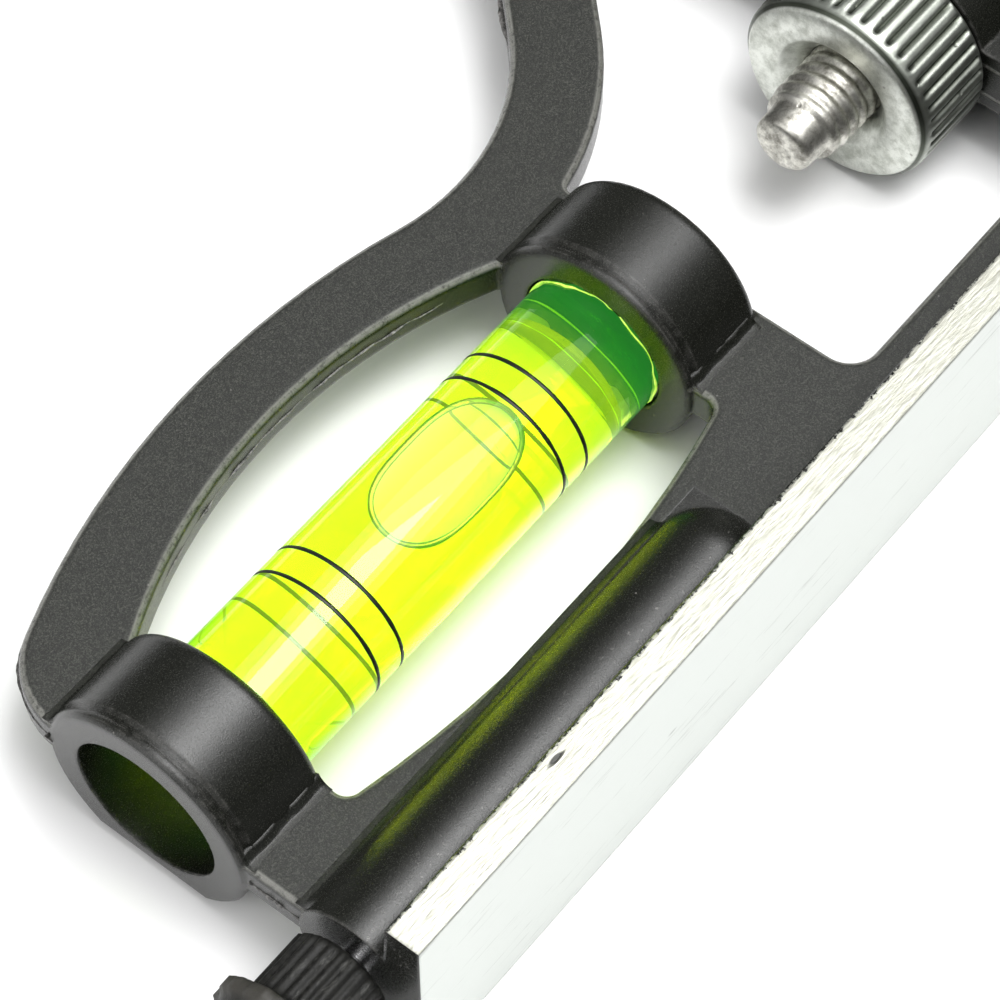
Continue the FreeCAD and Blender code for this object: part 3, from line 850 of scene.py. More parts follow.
# The bubble: a rounded capsule, |x|^3 + r^2 = 1 in its own half lengths.
def buildBubble():
    look = vialLook
    hx, hy, hz = [v * millimetre for v in look["bubbleHalf"]]
    cx, cz = headX(look["bubbleX"]), vialAxisZ + look["bubbleZ"] * millimetre
    t = np.sin(np.linspace(-math.pi / 2, math.pi / 2, 49)[1:-1])
    spread = np.sqrt(1 - np.abs(t) ** 3)
    angle = np.linspace(0, 2 * math.pi, 96, endpoint=False)
    s, a = np.meshgrid(t, angle, indexing="ij")
    r = np.repeat(spread[:, None], len(angle), 1)
    ring = np.stack([cx + hx * s, vialAxisY + hy * r * np.cos(a), cz + hz * r * np.sin(a)], -1).reshape(-1, 3)
    ends = np.array([[cx - hx, vialAxisY, cz], [cx + hx, vialAxisY, cz]])
    faces = gridFaces(len(t), len(angle), wrapColumns=True).tolist() + poleFaces(len(t), len(angle))
    bubble = addMesh("vialBubble", np.vstack([ring, ends]), faces)

    material, tree, shader = newMaterial("bubbleAir")
    shader.inputs["Transmission Weight"].default_value = 1.0
    shader.inputs["IOR"].default_value = 1.0 / look["bubbleIor"]
    place = objectPlace(tree)
    split = node(tree, "ShaderNodeSeparateXYZ", {0: place})
    haze = noise(tree, place, 0.3, 2.0)
    shade = ramp(tree, haze, 0.35, 0.65)
    feed(tree, shader, "Base Color", mixColor(tree, shade, (0.97, 1.0, 0.92), (1.0, 1.0, 1.0)))
    # Painted glow inside the bubble: bluish, brighter on its side away from the camera (+Y).
    far = ramp(tree, split.outputs["Y"], vialAxisY / millimetre - 0.5, vialAxisY / millimetre + 2.6)
    feed(tree, shader, "Emission Color", mixColor(tree, far, *look["bubbleGlow"]))
    shader.inputs["Emission Strength"].default_value = 1.0
    feed(tree, shader, "Roughness", ramp(tree, shade, 0, 1, 0.0, 0.02))
    bubble.data.materials.append(material)
    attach(bubble, "bubble")
    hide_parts("vial_bubble")

    # the meniscus: a thin dark green bead round the bubble's widest line, leaned to follow its outline. It is
    # partly a painted dark outline of the bubble, and it carries a faint painted glow.
    turn = np.linspace(0, 2 * math.pi, 240, endpoint=False)
    across = np.sign(np.cos(turn)) * np.abs(np.cos(turn)) ** (2 / 3)
    leanX, leanY = look["rimLean"]
    lift = (leanX * across * np.abs(across) + leanY * np.sin(turn)) * millimetre
    shrink = np.sqrt(1 - (lift / hz) ** 2)
    bead = np.stack([cx + hx * across * shrink, vialAxisY + hy * np.sin(turn) * shrink, cz + lift], -1)
    thickness = look["rimRadius"] * (1 + 0.5 * smoothNoise(turn / (2 * math.pi), 11, 61)) * millimetre
    rim = tubeAlong("bubbleRim", bead, thickness, 8, closed=True)
    rimMaterial, tree, shader = newMaterial("bubbleEdgeGlow")
    place = objectPlace(tree)
    drift = noise(tree, place, 0.45, 2.0)
    shade = ramp(tree, drift, 0.42, 0.58)
    tone = mixColor(tree, shade, *look["rimColors"])
    feed(tree, shader, "Base Color", tone)
    feed(tree, shader, "Emission Color", tone)
    shader.inputs["Emission Strength"].default_value = 0.25
    feed(tree, shader, "Roughness", ramp(tree, shade, 0, 1, 0.2, 0.35))
    rim.data.materials.append(rimMaterial)
    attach(rim, "bubble")


# Four painted rings: thin bands sunk slightly into the vial's surface.
def buildLines():
    look = vialLook
    material = inkMaterial("blackLine", 3.0, (0.62, 0.72), look["lineInk"], look["lineWorn"], (0.3, 0.5))
    rise = 0.012 * millimetre
    sink = 0.02 * millimetre
    around = 160
    angle = np.linspace(0, 2 * math.pi, around, endpoint=False)
    for index, station in enumerate(look["lineStations"]):
        half = look["lineWidth"] / 2 * (1 + 0.12 * smoothNoise(angle / (2 * math.pi), 37, 50 + index))
        middle = headX(station)
        rows = []
        for sideSign, radius in ((-1, -sink), (-1, rise), (1, rise), (1, -sink)):
            x = middle + sideSign * half * millimetre
            rows.append(roundVial(x, vialRadius + radius, angle))
        points = np.stack(rows, 0).reshape(-1, 3)
        faces = gridFaces(4, around, wrapRows=True, wrapColumns=True).tolist()
        band = addMesh("vialLine" + str(index + 1), points, faces)
        band.data.materials.append(material)
        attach(band, "head")


cementLook = {
    "dark": (0.004, 0.012, 0.003), "darkLight": (0.02, 0.05, 0.008), "darkGlow": 0.15,
    "lip": (0.42, 0.78, 0.05), "lipLight": (0.72, 1.0, 0.16), "lipGlow": 0.55,
    "upperMouth": 41.9, "lowerMouth": 7.35, "recess": 0.28, "bore": 5.25, "gap": 0.015, "lipRadius": 0.065,
}


def cementMaterial(name, dark, bright, strength):
    material, tree, shader = newMaterial(name)
    place = objectPlace(tree)
    lumps = noise(tree, place, 1.3, 4.0, 0.6)
    shade = ramp(tree, lumps, 0.35, 0.65)
    color = mixColor(tree, shade, dark, bright)
    feed(tree, shader, "Base Color", color)
    # Emission: a painted glow, faint on the dark collar and bright on the lime lip.
    feed(tree, shader, "Emission Color", color)
    shader.inputs["Emission Strength"].default_value = strength
    feed(tree, shader, "Roughness", ramp(tree, shade, 0, 1, 0.12, 0.3))
    bumpNormal(tree, shader, lumps, 0.0001, 0.6)
    return material


# Cement rings: a dark collar in each bore, and a torn lime lip at the bore's mouth that glows: a painted glow
# standing for the light that comes out of the vial.
def buildCement():
    look = cementLook
    dark = cementMaterial("cementDark", look["dark"], look["darkLight"], look["darkGlow"])
    limeGlow = cementMaterial("cementLipGlow", look["lip"], look["lipLight"], look["lipGlow"])
    around = 180
    angle = np.linspace(0, 2 * math.pi, around, endpoint=False)
    turn = angle / (2 * math.pi)
    bore = look["bore"] * millimetre
    snug = vialRadius + look["gap"] * millimetre
    mouths = (("vial_glue_upper", headX(look["upperMouth"]), vialHigh.x, 1, 71),
              ("vial_glue_lower", headX(look["lowerMouth"]), vialLow.x, -1, 91))
    for name, mouth, inner, direction, seed in mouths:
        ragged = 0.14 * smoothNoise(turn, 29, seed) + 0.06 * smoothNoise(turn, 83, seed + 1)
        front = mouth + direction * (look["recess"] + ragged) * millimetre
        section = [(inner, snug), (inner, bore), (front + direction * 0.15 * millimetre, bore),
                   (front, (vialRadius + bore) / 2), (front - direction * 0.12 * millimetre, snug)]
        points = np.stack([roundVial(x, r, angle) for x, r in section], 0).reshape(-1, 3)
        faces = gridFaces(len(section), around, wrapRows=True, wrapColumns=True)
        faces = faces if direction < 0 else faces[:, ::-1]
        collar = addMesh(name.replace("vial_glue_", "cementCollar"), points, faces.tolist())
        collar.data.materials.append(dark)
        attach(collar, "head")
        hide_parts(name)

        wave = 0.13 * smoothNoise(turn, 17, seed + 2) + 0.07 * smoothNoise(turn, 59, seed + 3)
        lipX = mouth - direction * (0.02 + wave) * millimetre
        lipR = vialRadius + (0.01 + 0.03 * smoothNoise(turn, 41, seed + 4)) * millimetre
        thickness = (look["lipRadius"] + 0.03 * smoothNoise(turn, 37, seed + 5)) * millimetre
        path = roundVial(lipX, lipR, angle)
        lip = tubeAlong(name.replace("vial_glue_", "cementLipGlow"), path, thickness, 8, closed=True)
        lip.data.materials.append(limeGlow)
        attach(lip, "head")


buildVial()
buildBubble()
buildLines()
buildCement()
print("level made")


# clamp: knurled nut, threaded bolt, spring

clampLook = {
    "nutLight": (0.74, 0.76, 0.71), "nutShade": (0.46, 0.48, 0.43),
    "boltLight": (0.74, 0.73, 0.67), "boltShade": (0.25, 0.24, 0.21),
    "pitColor": (0.22, 0.21, 0.18), "wornColor": (0.86, 0.86, 0.84),
    "rimColor": (0.40, 0.43, 0.38), "hollowShadeColor": (0.09, 0.10, 0.08),
    "rimFrom": (6.86, 6.94), "hollowInner": (6.80, 6.90), "hollowOuter": (7.20, 7.05),
    "ridges": 42, "ridgeDepth": 0.26, "knurlStart": 0.95,
    "faceRadius": 6.7, "sinkRadius": 4.26, "sinkDepth": 1.4, "boreRadius": 2.9,
    "pitch": 1.0, "crestRadius": 2.82, "rootRadius": 2.64, "tipRadius": 2.15, "tipLength": 2.2,
    "shoulderRadius": 4.0, "shoulderStart": 81.05, "shoulderEnd": 82.35,
    "tongueHalf": 2.4, "tongueLow": 1.2, "tongueHigh": 3.0,
    "hookStart": 95.4, "hookEnd": 96.9, "hookLow": 0.4,
    "wire": 0.35, "coilRadius": 3.5, "coils": 3.0,
    "wireLight": (0.42, 0.42, 0.43), "wireShade": (0.2, 0.2, 0.2),
}


# Worn zinc plating: cloudy bright metal with fine random scratches. On the nut the knurl's rim is toned a
# duller grey, and a painted shade darkens the knurl's hollows.
def zincMaterial(name, light, shade, roughness, knurlToneAndShade=0.0):
    look = clampLook
    material, tree, shader = newMaterial(name)
    place = objectPlace(tree)
    shader.inputs["Metallic"].default_value = 1.0
    cloud = noise(tree, place, 0.9, 7.0, 0.75)
    tone = ramp(tree, cloud, 0.36, 0.60)
    wear = useGroup(tree, edgeWear, {"Vector": place, "Radius": 0.0002, "Amount": 0.8})
    pits = useGroup(tree, specks, {"Vector": place, "Spacing Scale": 0.9, "Size": 0.16, "Share": 0.35})
    turned = objectPlace(tree, (500, 900, 1000), (0.4, 0.3, 0.7))
    marks = useGroup(tree, scratches, {"Vector": turned, "Fineness": 1.2, "Amount": 0.5})
    color = mixColor(tree, tone, shade, light)
    color = mixColor(tree, times(tree, pits.outputs["Mask"], 0.6), color, look["pitColor"])
    color = mixColor(tree, wear.outputs["Mask"], color, look["wornColor"])
    if knurlToneAndShade > 0:
        split = node(tree, "ShaderNodeSeparateXYZ", {0: place})
        radius = axisDistance(tree, split.outputs["Y"], split.outputs["Z"], vialAxisY)
        # Painted shade in the knurl's hollows; the ridges' rim below is toned a duller grey.
        deep = times(tree, ramp(tree, radius, *look["hollowOuter"]), ramp(tree, radius, *look["hollowInner"]))
        onRim = times(tree, ramp(tree, radius, *look["rimFrom"]), knurlToneAndShade * 0.75)
        color = mixColor(tree, onRim, color, look["rimColor"])
        color = mixColor(tree, times(tree, deep, knurlToneAndShade), color, look["hollowShadeColor"])
    feed(tree, shader, "Base Color", color)
    rough = ramp(tree, tone, 0, 1, roughness + 0.12, roughness)
    feed(tree, shader, "Roughness", plus(tree, rough, times(tree, marks.outputs["Mask"], 0.12)))
    height = plus(tree, times(tree, cloud, 0.8), times(tree, marks.outputs["Height"], 0.3))
    height = minus(tree, height, pits.outputs["Mask"])
    bumpNormal(tree, shader, height, 0.00004, 0.7, wear.outputs["Normal"])
    return material


# The nut is a ring-shaped grid: profile points (x, radius) round the section, with ridges on the rim.
# Ridge height = depth times a rounded comb of the angle.
def buildNut():
    look = clampLook
    length = (nutHigh.x - nutLow.x) / millimetre
    rim = (nutHigh.y - nutLow.y) / 2 / millimetre
    start = look["knurlStart"]
    along = np.linspace(start + 0.18, length - 0.55, 10)
    section = [
        (length, look["boreRadius"], 0), (look["sinkDepth"], look["boreRadius"], 0),
        (look["sinkDepth"] * 0.5, (look["boreRadius"] + look["sinkRadius"]) / 2, 0),
        (0.06, look["sinkRadius"] - 0.04, 0), (0.0, look["sinkRadius"] + 0.08, 0),
        (0.0, (look["sinkRadius"] + look["faceRadius"]) / 2, 0), (0.0, look["faceRadius"] - 0.1, 0),
        (0.08, look["faceRadius"] + 0.03, 0), (0.5, rim - 0.12, 0), (0.66, rim - 0.06, 0),
        (start, rim - 0.06, 0),
    ]
    section += [(x, rim, 1) for x in along]
    section += [
        (length - 0.42, rim - 0.03, 0.4), (length - 0.28, rim - 0.12, 0), (length, look["faceRadius"], 0),
        (length, (look["boreRadius"] + look["faceRadius"]) / 2, 0),
    ]
    section = np.array(section)
    around = look["ridges"] * 12
    angle = np.linspace(0, 2 * math.pi, around, endpoint=False)
    comb = (0.5 - 0.5 * np.cos(angle * look["ridges"])) ** 3.0
    r = (section[:, 1][:, None] - look["ridgeDepth"] * section[:, 2][:, None] * comb[None]) * millimetre
    points = roundVial(nutLow.x + section[:, 0][:, None] * millimetre, r, angle).reshape(-1, 3)
    faces = gridFaces(len(section), around, wrapRows=True, wrapColumns=True).tolist()
    nut = addMesh("knurledNut", points, faces)
    nut.data.materials.append(zincMaterial("zincNut", look["nutLight"], look["nutShade"], 0.36, 1.0))
    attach(nut, "nut")
    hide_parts("clamp_nut")


# Dog tip, then a right-hand thread: radius = root plus crest wave of (x / pitch - angle / turn).
def buildBolt():
    look = clampLook
    x0 = boltLow.x / millimetre
    threadStart = x0 + look["tipLength"]
    shoulderStart = headLow.x / millimetre + look["shoulderStart"]
    shoulderEnd = headLow.x / millimetre + look["shoulderEnd"]
    rows = int((shoulderStart - threadStart) / look["pitch"] * 14)
    thread = np.linspace(threadStart, shoulderStart - 0.05, rows)
    tip = [(x0, 1.2), (x0 + 0.02, 1.72), (x0 + 0.12, 1.92), (x0 + 0.3, 2.08), (x0 + 0.5, look["tipRadius"]),
           (threadStart - 1.2, look["tipRadius"] + 0.02), (threadStart - 0.4, look["tipRadius"] + 0.05),
           (threadStart - 0.1, look["tipRadius"] + 0.12)]
    foot = [(shoulderStart, look["rootRadius"]), (shoulderStart, look["shoulderRadius"] - 0.1),
            (shoulderStart + 0.1, look["shoulderRadius"]), (shoulderEnd - 0.1, look["shoulderRadius"]),
            (shoulderEnd, look["shoulderRadius"] - 0.1), (shoulderEnd, 1.5)]
    stations = np.array([p[0] for p in tip] + list(thread) + [p[0] for p in foot])
    radii = np.array([p[1] for p in tip] + [look["rootRadius"]] * rows + [p[1] for p in foot])
    onThread = np.array([0] * len(tip) + [1] * rows + [0] * len(foot), float)
    grow = np.clip((stations - threadStart) / 0.9, 0, 1)

    def wave(s, a):
        phase = stations[s] / look["pitch"] - a / (2 * math.pi)
        saw = 1 - np.abs(2 * (phase - np.floor(phase)) - 1)
        crest = np.clip(saw * 1.5 - 0.12, 0, 1)
        lumps = 0.02 * smoothNoise(a / (2 * math.pi) + stations[s] * 0.13, 17, 5)
        depth = (look["crestRadius"] - look["rootRadius"]) * crest * grow[s]
        return onThread[s] * (depth * millimetre) + lumps * millimetre * (radii[s] > 0)

    shank = turnedPiece("drawBoltShank", stations * millimetre, profileRadius(radii * millimetre, wave),
                        vialAxisY, vialAxisZ, 72)
    material = zincMaterial("zincBolt", look["boltLight"], look["boltShade"], 0.36)
    shank.data.materials.append(material)
    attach(shank, "bolt")
    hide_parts("clamp_bolt")

    left, right = shoulderStart, boltHigh.x / millimetre
    y = vialAxisY / millimetre
    hookA = headLow.x / millimetre + look["hookStart"]
    hookB = headLow.x / millimetre + look["hookEnd"]
    outline = [(left, look["tongueLow"]), (hookA, look["tongueLow"]), (hookA, look["hookLow"]),
               (hookB, look["hookLow"]), (hookB, look["tongueLow"]), (right, look["tongueLow"]),
               (right, look["tongueHigh"]), (left, look["tongueHigh"])]
    half = look["tongueHalf"]
    count = len(outline)
    points = [(px, y - half, pz) for px, pz in outline] + [(px, y + half, pz) for px, pz in outline]
    faces = [list(range(count)), list(range(2 * count - 1, count - 1, -1))]
    faces += [[i, i + count, (i + 1) % count + count, (i + 1) % count] for i in range(count)]
    tongue = addMesh("drawBoltTongue", np.array(points) * millimetre, faces, smooth=False)
    soften = tongue.modifiers.new("soften", "BEVEL")
    soften.width = 0.15 * millimetre
    soften.segments = 3
    tongue.data.materials.append(material)
    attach(tongue, "bolt")


# Closed-end coil: the pitch eases to nothing over the first and last half turn.
def buildSpring():
    look = clampLook
    turns = look["coils"] + 1.0
    t = np.linspace(0, 1, int(turns * 40))
    ease = np.clip((t * turns - 0.4) / (turns - 0.8), 0, 1)
    start = springLow.x + look["wire"] * millimetre * 0.2
    end = springHigh.x - look["wire"] * millimetre * 0.2
    wire = look["wire"] * millimetre
    x = start + wire + (end - start - 2 * wire) * ease
    a = 2 * math.pi * turns * t
    path = roundVial(x, look["coilRadius"] * millimetre, a)
    ahead = np.gradient(path, axis=0)
    ahead /= np.linalg.norm(ahead, axis=1)[:, None]
    outward = np.stack([np.zeros_like(a), np.cos(a), np.sin(a)], -1)
    across = np.cross(ahead, outward)
    sides = 14
    b = np.linspace(0, 2 * math.pi, sides, endpoint=False)
    ring = outward[:, None, :] * np.cos(b)[None, :, None] + across[:, None, :] * np.sin(b)[None, :, None]
    points = (path[:, None, :] + ring * wire).reshape(-1, 3)
    faces = gridFaces(len(path), sides, wrapColumns=True)[:, ::-1].tolist()
    faces.append(list(range(sides)))
    faces.append(list(range((len(path) - 1) * sides, len(path) * sides))[::-1])
    spring = addMesh("returnSpring", points, faces)
    spring.data.materials.append(drawnMetal(
        "springWire", (1000, 1000, 1000), 2.0, 0.5, look["wireLight"], look["wireShade"], (0.2, 0.4)))
    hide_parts("clamp_spring")
    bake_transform(spring)


buildNut()
buildBolt()
buildSpring()
print("clamp made")


# rule: satin steel with dark etched lines and numbers

ruleLook = {
    "light": (0.45, 0.455, 0.455), "shade": (0.35, 0.355, 0.36), "stroke": (0.25, 0.255, 0.26),
    "pit": (0.16, 0.14, 0.11), "roughness": (0.34, 0.50),
    "etch": (0.012, 0.012, 0.012), "etchWorn": (0.10, 0.10, 0.10),
    "lineWidth": 0.16, "raise": 0.006, "lengths": (3.2, 4.6, 6.2), "inch": 25.4,
    "inchLengths": (2.2, 3.2, 4.4, 6.2), "numberSize": 3.4, "numberGap": 2.1,
}


def ruleMaterial():
    look = ruleLook
    material, tree, shader = newMaterial("satinRuleSteel")
    shader.inputs["Metallic"].default_value = 1.0
    place = objectPlace(tree)
    strokes = useGroup(tree, scratches, {
        "Vector": objectPlace(tree, (1500, 50, 1000)), "Fineness": 1.6, "Amount": 0.5})
    stain = noise(tree, place, 0.05, 5.0)
    tone = ramp(tree, stain, 0.35, 0.7)
    color = mixColor(tree, tone, look["light"], look["shade"])
    color = mixColor(tree, times(tree, strokes.outputs["Mask"], 0.5), color, look["stroke"])
    pits = useGroup(tree, specks, {"Vector": place, "Spacing Scale": 0.25, "Size": 0.06, "Share": 0.3})
    color = mixColor(tree, times(tree, pits.outputs["Mask"], 0.6), color, look["pit"])
    feed(tree, shader, "Base Color", color)
    feed(tree, shader, "Roughness", ramp(tree, strokes.outputs["Height"], 0.3, 0.7, *look["roughness"]))
    wear = useGroup(tree, edgeWear, {"Vector": place, "Radius": 0.0001, "Amount": 0.3})
    bumpNormal(tree, shader, strokes.outputs["Height"], 0.00002, 0.5, wear.outputs["Normal"])
    return material


# Centres and half sizes of the tick bars along both long edges of one face of the rule.
def tickRows(positions, lengths, topSide):
    thick = ruleLook["raise"] * millimetre
    z = ruleHigh.z if topSide else ruleLow.z
    half = lengths / 2
    width = np.full(len(positions), ruleLook["lineWidth"] / 2 * millimetre)
    rows = []
    for x in (ruleLow.x + half, ruleHigh.x - half):
        centers = np.stack([x, positions, np.full(len(positions), z)], -1)
        halves = np.stack([half, width, np.full(len(positions), thick)], -1)
        rows.append((centers, halves))
    return np.vstack([r[0] for r in rows]), np.vstack([r[1] for r in rows])


# One number as flat triangles centred on the origin, as arrays of points and faces.
def numberMesh(text, size):
    curve = bpy.data.curves.new("number" + text, "FONT")
    curve.body = text
    curve.size = size
    curve.align_x = "CENTER"
    curve.align_y = "CENTER"
    curve.extrude = ruleLook["raise"] * millimetre
    curve.resolution_u = 3
    holder = bpy.data.objects.new("numberHolder", curve)
    bpy.context.scene.collection.objects.link(holder)
    bpy.context.view_layer.update()
    mesh = bpy.data.meshes.new_from_object(holder.evaluated_get(bpy.context.evaluated_depsgraph_get()))
    points = np.array([v.co[:] for v in mesh.vertices])
    faces = [list(p.vertices) for p in mesh.polygons]
    bpy.data.objects.remove(holder)
    bpy.data.meshes.remove(mesh)
    return points, faces


# Numbers at (text, x, y) on one face, read with the rule's length running left to right.
def numbersPiece(name, items, topSide):
    allPoints, allFaces, count = [], [], 0
    cache = {}
    z = ruleHigh.z if topSide else ruleLow.z
    for text, x, y in items:
        if text not in cache:
            cache[text] = numberMesh(text, ruleLook["numberSize"] * millimetre)
        points, faces = cache[text]
        turned = np.stack([-points[:, 1], points[:, 0], points[:, 2]], -1)
        if not topSide:
            turned = turned * np.array([-1, 1, -1])
        allPoints.append(turned + np.array([x, y, z]))
        allFaces += [[i + count for i in face] for face in faces]
        count += len(points)
    return addMesh(name, np.vstack(allPoints), allFaces, smooth=False)


def buildRuleMarks():
    look = ruleLook
    material = inkMaterial("etchedBlack", 1.2, (0.62, 0.75), look["etch"], look["etchWorn"], (0.45, 0.65))
    low = ruleLow.y
    count = int(round((ruleHigh.y - ruleLow.y) / millimetre))
    one, five, ten = look["lengths"]
    index = np.arange(1, count)
    lengths = np.where(index % 10 == 0, ten, np.where(index % 5 == 0, five, one))
    top = tickRows(low + index * millimetre, lengths * millimetre, True)
    sixteenth, eighth, quarter, whole = look["inchLengths"]
    index = np.arange(1, int(count / look["inch"] * 16) + 1)
    lengths = np.where(index % 4 == 0, quarter, np.where(index % 2 == 0, eighth, sixteenth))
    lengths = np.where(index % 16 == 0, whole, lengths)
    under = tickRows(low + index * look["inch"] / 16 * millimetre, lengths * millimetre, False)
    inset = (ten + look["numberGap"]) * millimetre
    columns = (ruleLow.x + inset, ruleHigh.x - inset)
    inches = range(1, int(count / look["inch"]) + 1)
    topItems = [(str(k), x, low + k * 10 * millimetre) for k in range(1, count // 10) for x in columns]
    underItems = [(str(k), x, low + k * look["inch"] * millimetre) for k in inches for x in columns]
    pieces = [
        barsPiece("ruleMillimetres", *top), barsPiece("ruleInches", *under),
        numbersPiece("ruleNumbersTop", topItems, True), numbersPiece("ruleNumbersUnder", underItems, False),
    ]
    for piece in pieces:
        piece.data.materials.append(material)
        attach(piece, "rule")


finishNode("rule", ruleMaterial())
buildRuleMarks()
print("rule marked")


# scriber: moulded knob and steel needle

knobLook = {
    "dark": (0.004, 0.004, 0.0034), "light": (0.012, 0.012, 0.010), "rub": (0.12, 0.12, 0.11),
    "lip": (0.055, 0.052, 0.045), "lipFrom": (4.1, 4.6), "worn": (0.09, 0.088, 0.08),
    "ridges": 26, "ridgeDepth": 0.20, "shankRadius": 3.42, "collarRadius": 4.75, "collarStart": 4.35,
    "collarEnd": 6.1, "domeRadius": 2.4,
    "needleLight": (0.62, 0.62, 0.63), "needleShade": (0.35, 0.35, 0.36),
}


def plasticMaterial():
    look = knobLook
    material, tree, shader = newMaterial("mouldedBlackPlastic")
    place = objectPlace(tree)
    skin = useGroup(tree, castGrain, {"Vector": place, "Grain Scale": 3.0, "Coarse Scale": 0.7})
    lengthwise = objectPlace(tree, (300, 1000, 1000))
    rub = useGroup(tree, scratches, {"Vector": lengthwise, "Fineness": 1.6, "Amount": 0.6})
    wear = useGroup(tree, edgeWear, {"Vector": place, "Radius": 0.00025, "Amount": 0.6})
    color = mixColor(tree, skin.outputs["Mask"], look["dark"], look["light"])
    color = mixColor(tree, times(tree, rub.outputs["Mask"], 0.5), color, look["rub"])
    split = node(tree, "ShaderNodeSeparateXYZ", {0: place})
    radius = axisDistance(tree, split.outputs["Y"], split.outputs["Z"], (knobLow.y + knobHigh.y) / 2)
    lip = ramp(tree, radius, *look["lipFrom"])
    color = mixColor(tree, times(tree, lip, 0.7), color, look["lip"])
    color = mixColor(tree, wear.outputs["Mask"], color, look["worn"])
    feed(tree, shader, "Base Color", color)
    shader.inputs["Specular IOR Level"].default_value = 0.32
    feed(tree, shader, "Roughness", ramp(tree, skin.outputs["Mask"], 0, 1, 0.50, 0.66))
    bumpNormal(tree, shader, skin.outputs["Height"], 0.00005, 0.6, wear.outputs["Normal"])
    return material


# A ribbed shank, a torn collar and a dome, turned about the scriber's axis.
# Ridges are a rounded comb of the angle; the collar's rim wanders with a smooth random wave.
def buildKnob():
    look = knobLook
    axisY = (knobLow.y + knobHigh.y) / 2
    axisZ = (knobLow.z + knobHigh.z) / 2
    near = knobHigh.x / millimetre
    far = knobLow.x / millimetre
    shank = np.linspace(near - 0.3, near - look["collarStart"], 12)
    profile = [(near, 1.2, 0, 0), (near, look["shankRadius"] - 0.35, 0.3, 0)]
    profile += [(x, look["shankRadius"], 1, 0) for x in shank]
    profile += [
        (near - look["collarStart"] - 0.25, look["shankRadius"] + 0.35, 0.3, 0),
        (near - look["collarStart"] - 0.5, look["collarRadius"] - 0.25, 0, 0.5),
        (near - look["collarStart"] - 0.75, look["collarRadius"], 0, 1),
        (near - look["collarEnd"] + 0.3, look["collarRadius"], 0, 0.8),
        (near - look["collarEnd"], look["collarRadius"] - 0.5, 0, 0.2),
        (far + 0.9, look["domeRadius"] + 1.2, 0, 0), (far + 0.35, look["domeRadius"] + 0.5, 0, 0),
        (far + 0.05, look["domeRadius"] - 0.6, 0, 0), (far, 0.9, 0, 0),
    ]
    profile = np.array(profile)[::-1]
    torn = profile[:, 3]
    ribbed = profile[:, 2]

    def ripple(s, a):
        comb = (0.5 - 0.5 * np.cos(a * look["ridges"])) ** 1.3
        turn = a / (2 * math.pi)
        tear = 0.30 * smoothNoise(turn, 19, 31) + 0.18 * smoothNoise(turn, 61, 32) - 0.2
        return (-look["ridgeDepth"] * ribbed[s] * comb + torn[s] * tear) * millimetre

    radiusAt = profileRadius(profile[:, 1] * millimetre, ripple)
    knob = turnedPiece("ribbedKnob", profile[:, 0] * millimetre, radiusAt, axisY, axisZ, look["ridges"] * 10)
    knob.data.materials.append(plasticMaterial())
    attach(knob, "scriber")
    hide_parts("scriber_knob")


buildKnob()
needleSteel = drawnMetal("hardenedNeedle", (1800, 200, 200), 1.5, 0.4,
                         knobLook["needleLight"], knobLook["needleShade"], (0.14, 0.3))
finishNode("scriber_needle", needleSteel)
print("scriber made")


# stage, light and camera

stageLook = {
    "floorSize": 3.0, "floorColor": (0.93, 0.93, 0.93), "worldColor": (1.0, 1.0, 1.0),
    "worldStrength": 0.12, "exposure": 0.0,
}
lightLook = {
    "above": (0.10, -0.15, 0.72), "aboveAim": (0.05, -0.05, 0.0), "aboveShape": (1.0, 0.78),
    "aboveBoxes": (("outerBox", 1.15, 4.4), ("middleBox", 0.66, 2.6), ("innerBox", 0.38, 3.2)),
    "fill": (-0.62, 0.16, 0.42), "fillAim": (-0.02, 0.02, 0.0), "fillSize": 0.55, "fillPower": 2.6,
}
cameraLook = {
    "place": (-0.114413, -0.065765, 0.207525),
    "right": (0.624529, -0.780997, -0.002467),
    "down": (-0.657950, -0.524426, -0.540443),
    "ahead": (0.420791, 0.339146, -0.841377),
    "lens": 146.77,
}


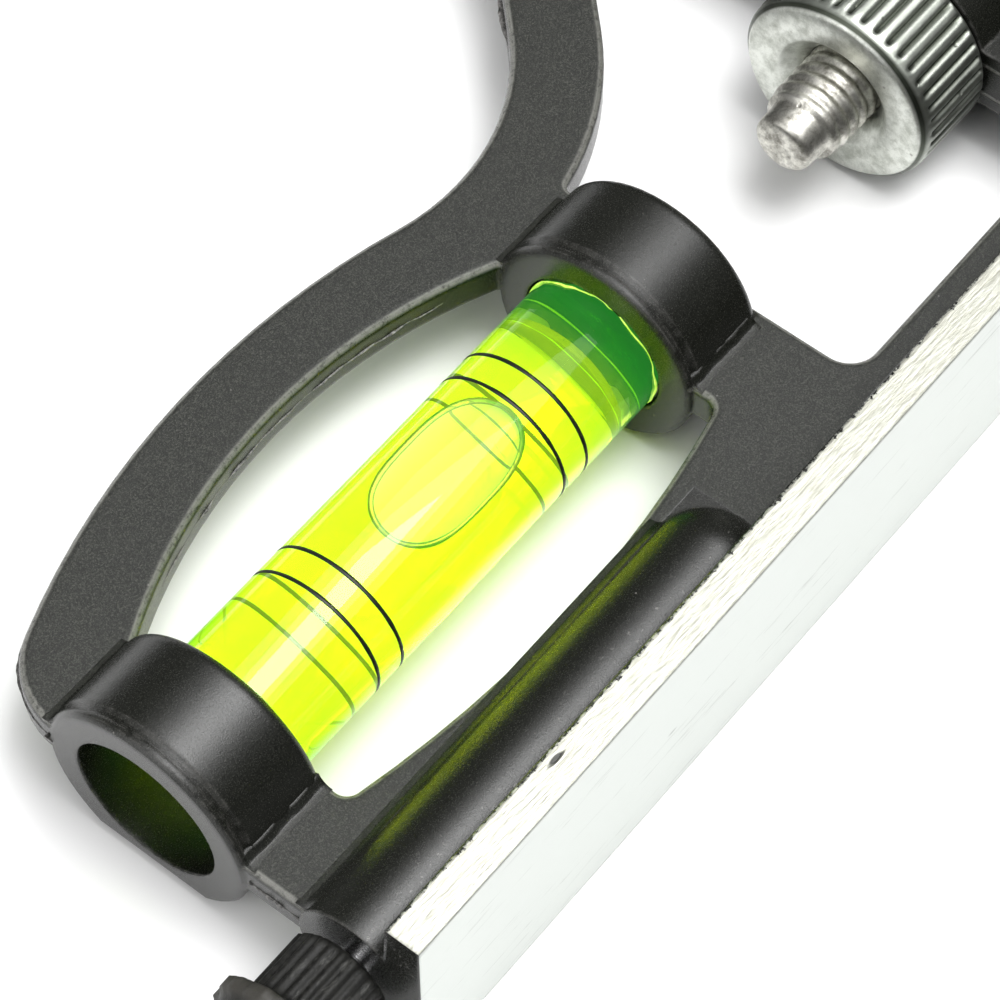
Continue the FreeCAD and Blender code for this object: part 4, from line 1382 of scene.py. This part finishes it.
def buildStage():
    look = stageLook
    size = look["floorSize"] / 2
    z = headLow.z - 0.00003
    grid = np.linspace(-size, size, 9)
    x, y = np.meshgrid(grid, grid, indexing="ij")
    points = np.stack([x, y, np.full_like(x, z)], -1)
    floor = addMesh("floor", points, gridFaces(9, 9)[:, ::-1].tolist(), False)
    material, tree, shader = newMaterial("palePaper")
    shader.inputs["Base Color"].default_value = (*look["floorColor"], 1.0)
    shader.inputs["Roughness"].default_value = 0.9
    floor.data.materials.append(material)
    world = bpy.data.worlds.new("softRoom")
    world.use_nodes = True
    background = world.node_tree.nodes["Background"]
    background.inputs["Color"].default_value = (*look["worldColor"], 1.0)
    background.inputs["Strength"].default_value = look["worldStrength"]
    bpy.context.scene.world = world


def softBox(name, place, aim, size, power, shape=(1.0, 1.0)):
    light = bpy.data.lights.new(name, "AREA")
    light.shape = "RECTANGLE"
    light.size = size * shape[0]
    light.size_y = size * shape[1]
    light.energy = power
    lamp = bpy.data.objects.new(name, light)
    bpy.context.scene.collection.objects.link(lamp)
    lamp.location = place
    direction = Vector(aim) - Vector(place)
    lamp.rotation_euler = direction.to_track_quat("-Z", "Y").to_euler()


# Three soft boxes one above another, brighter towards the middle, and a weaker one from the side.
def buildLights():
    look = lightLook
    x, y, z = look["above"]
    for index, (name, size, power) in enumerate(look["aboveBoxes"]):
        softBox(name, (x, y, z + 0.01 * index), look["aboveAim"], size, power, look["aboveShape"])
    softBox("fillBox", look["fill"], look["fillAim"], look["fillSize"], look["fillPower"])


def buildCamera():
    look = cameraLook
    data = bpy.data.cameras.new("camera")
    data.lens = look["lens"]
    data.sensor_width = 36.0
    data.clip_start = 0.01
    camera = bpy.data.objects.new("camera", data)
    bpy.context.scene.collection.objects.link(camera)
    right, down, ahead = (Vector(look[k]).normalized() for k in ("right", "down", "ahead"))
    turn = Matrix((right, -down, -ahead)).transposed().to_4x4()
    camera.matrix_world = Matrix.Translation(look["place"]) @ turn
    bpy.context.scene.camera = camera


buildStage()
buildLights()
buildCamera()
bpy.context.scene.view_settings.view_transform = "Standard"
bpy.context.scene.view_settings.exposure = stageLook["exposure"]
print("stage set")
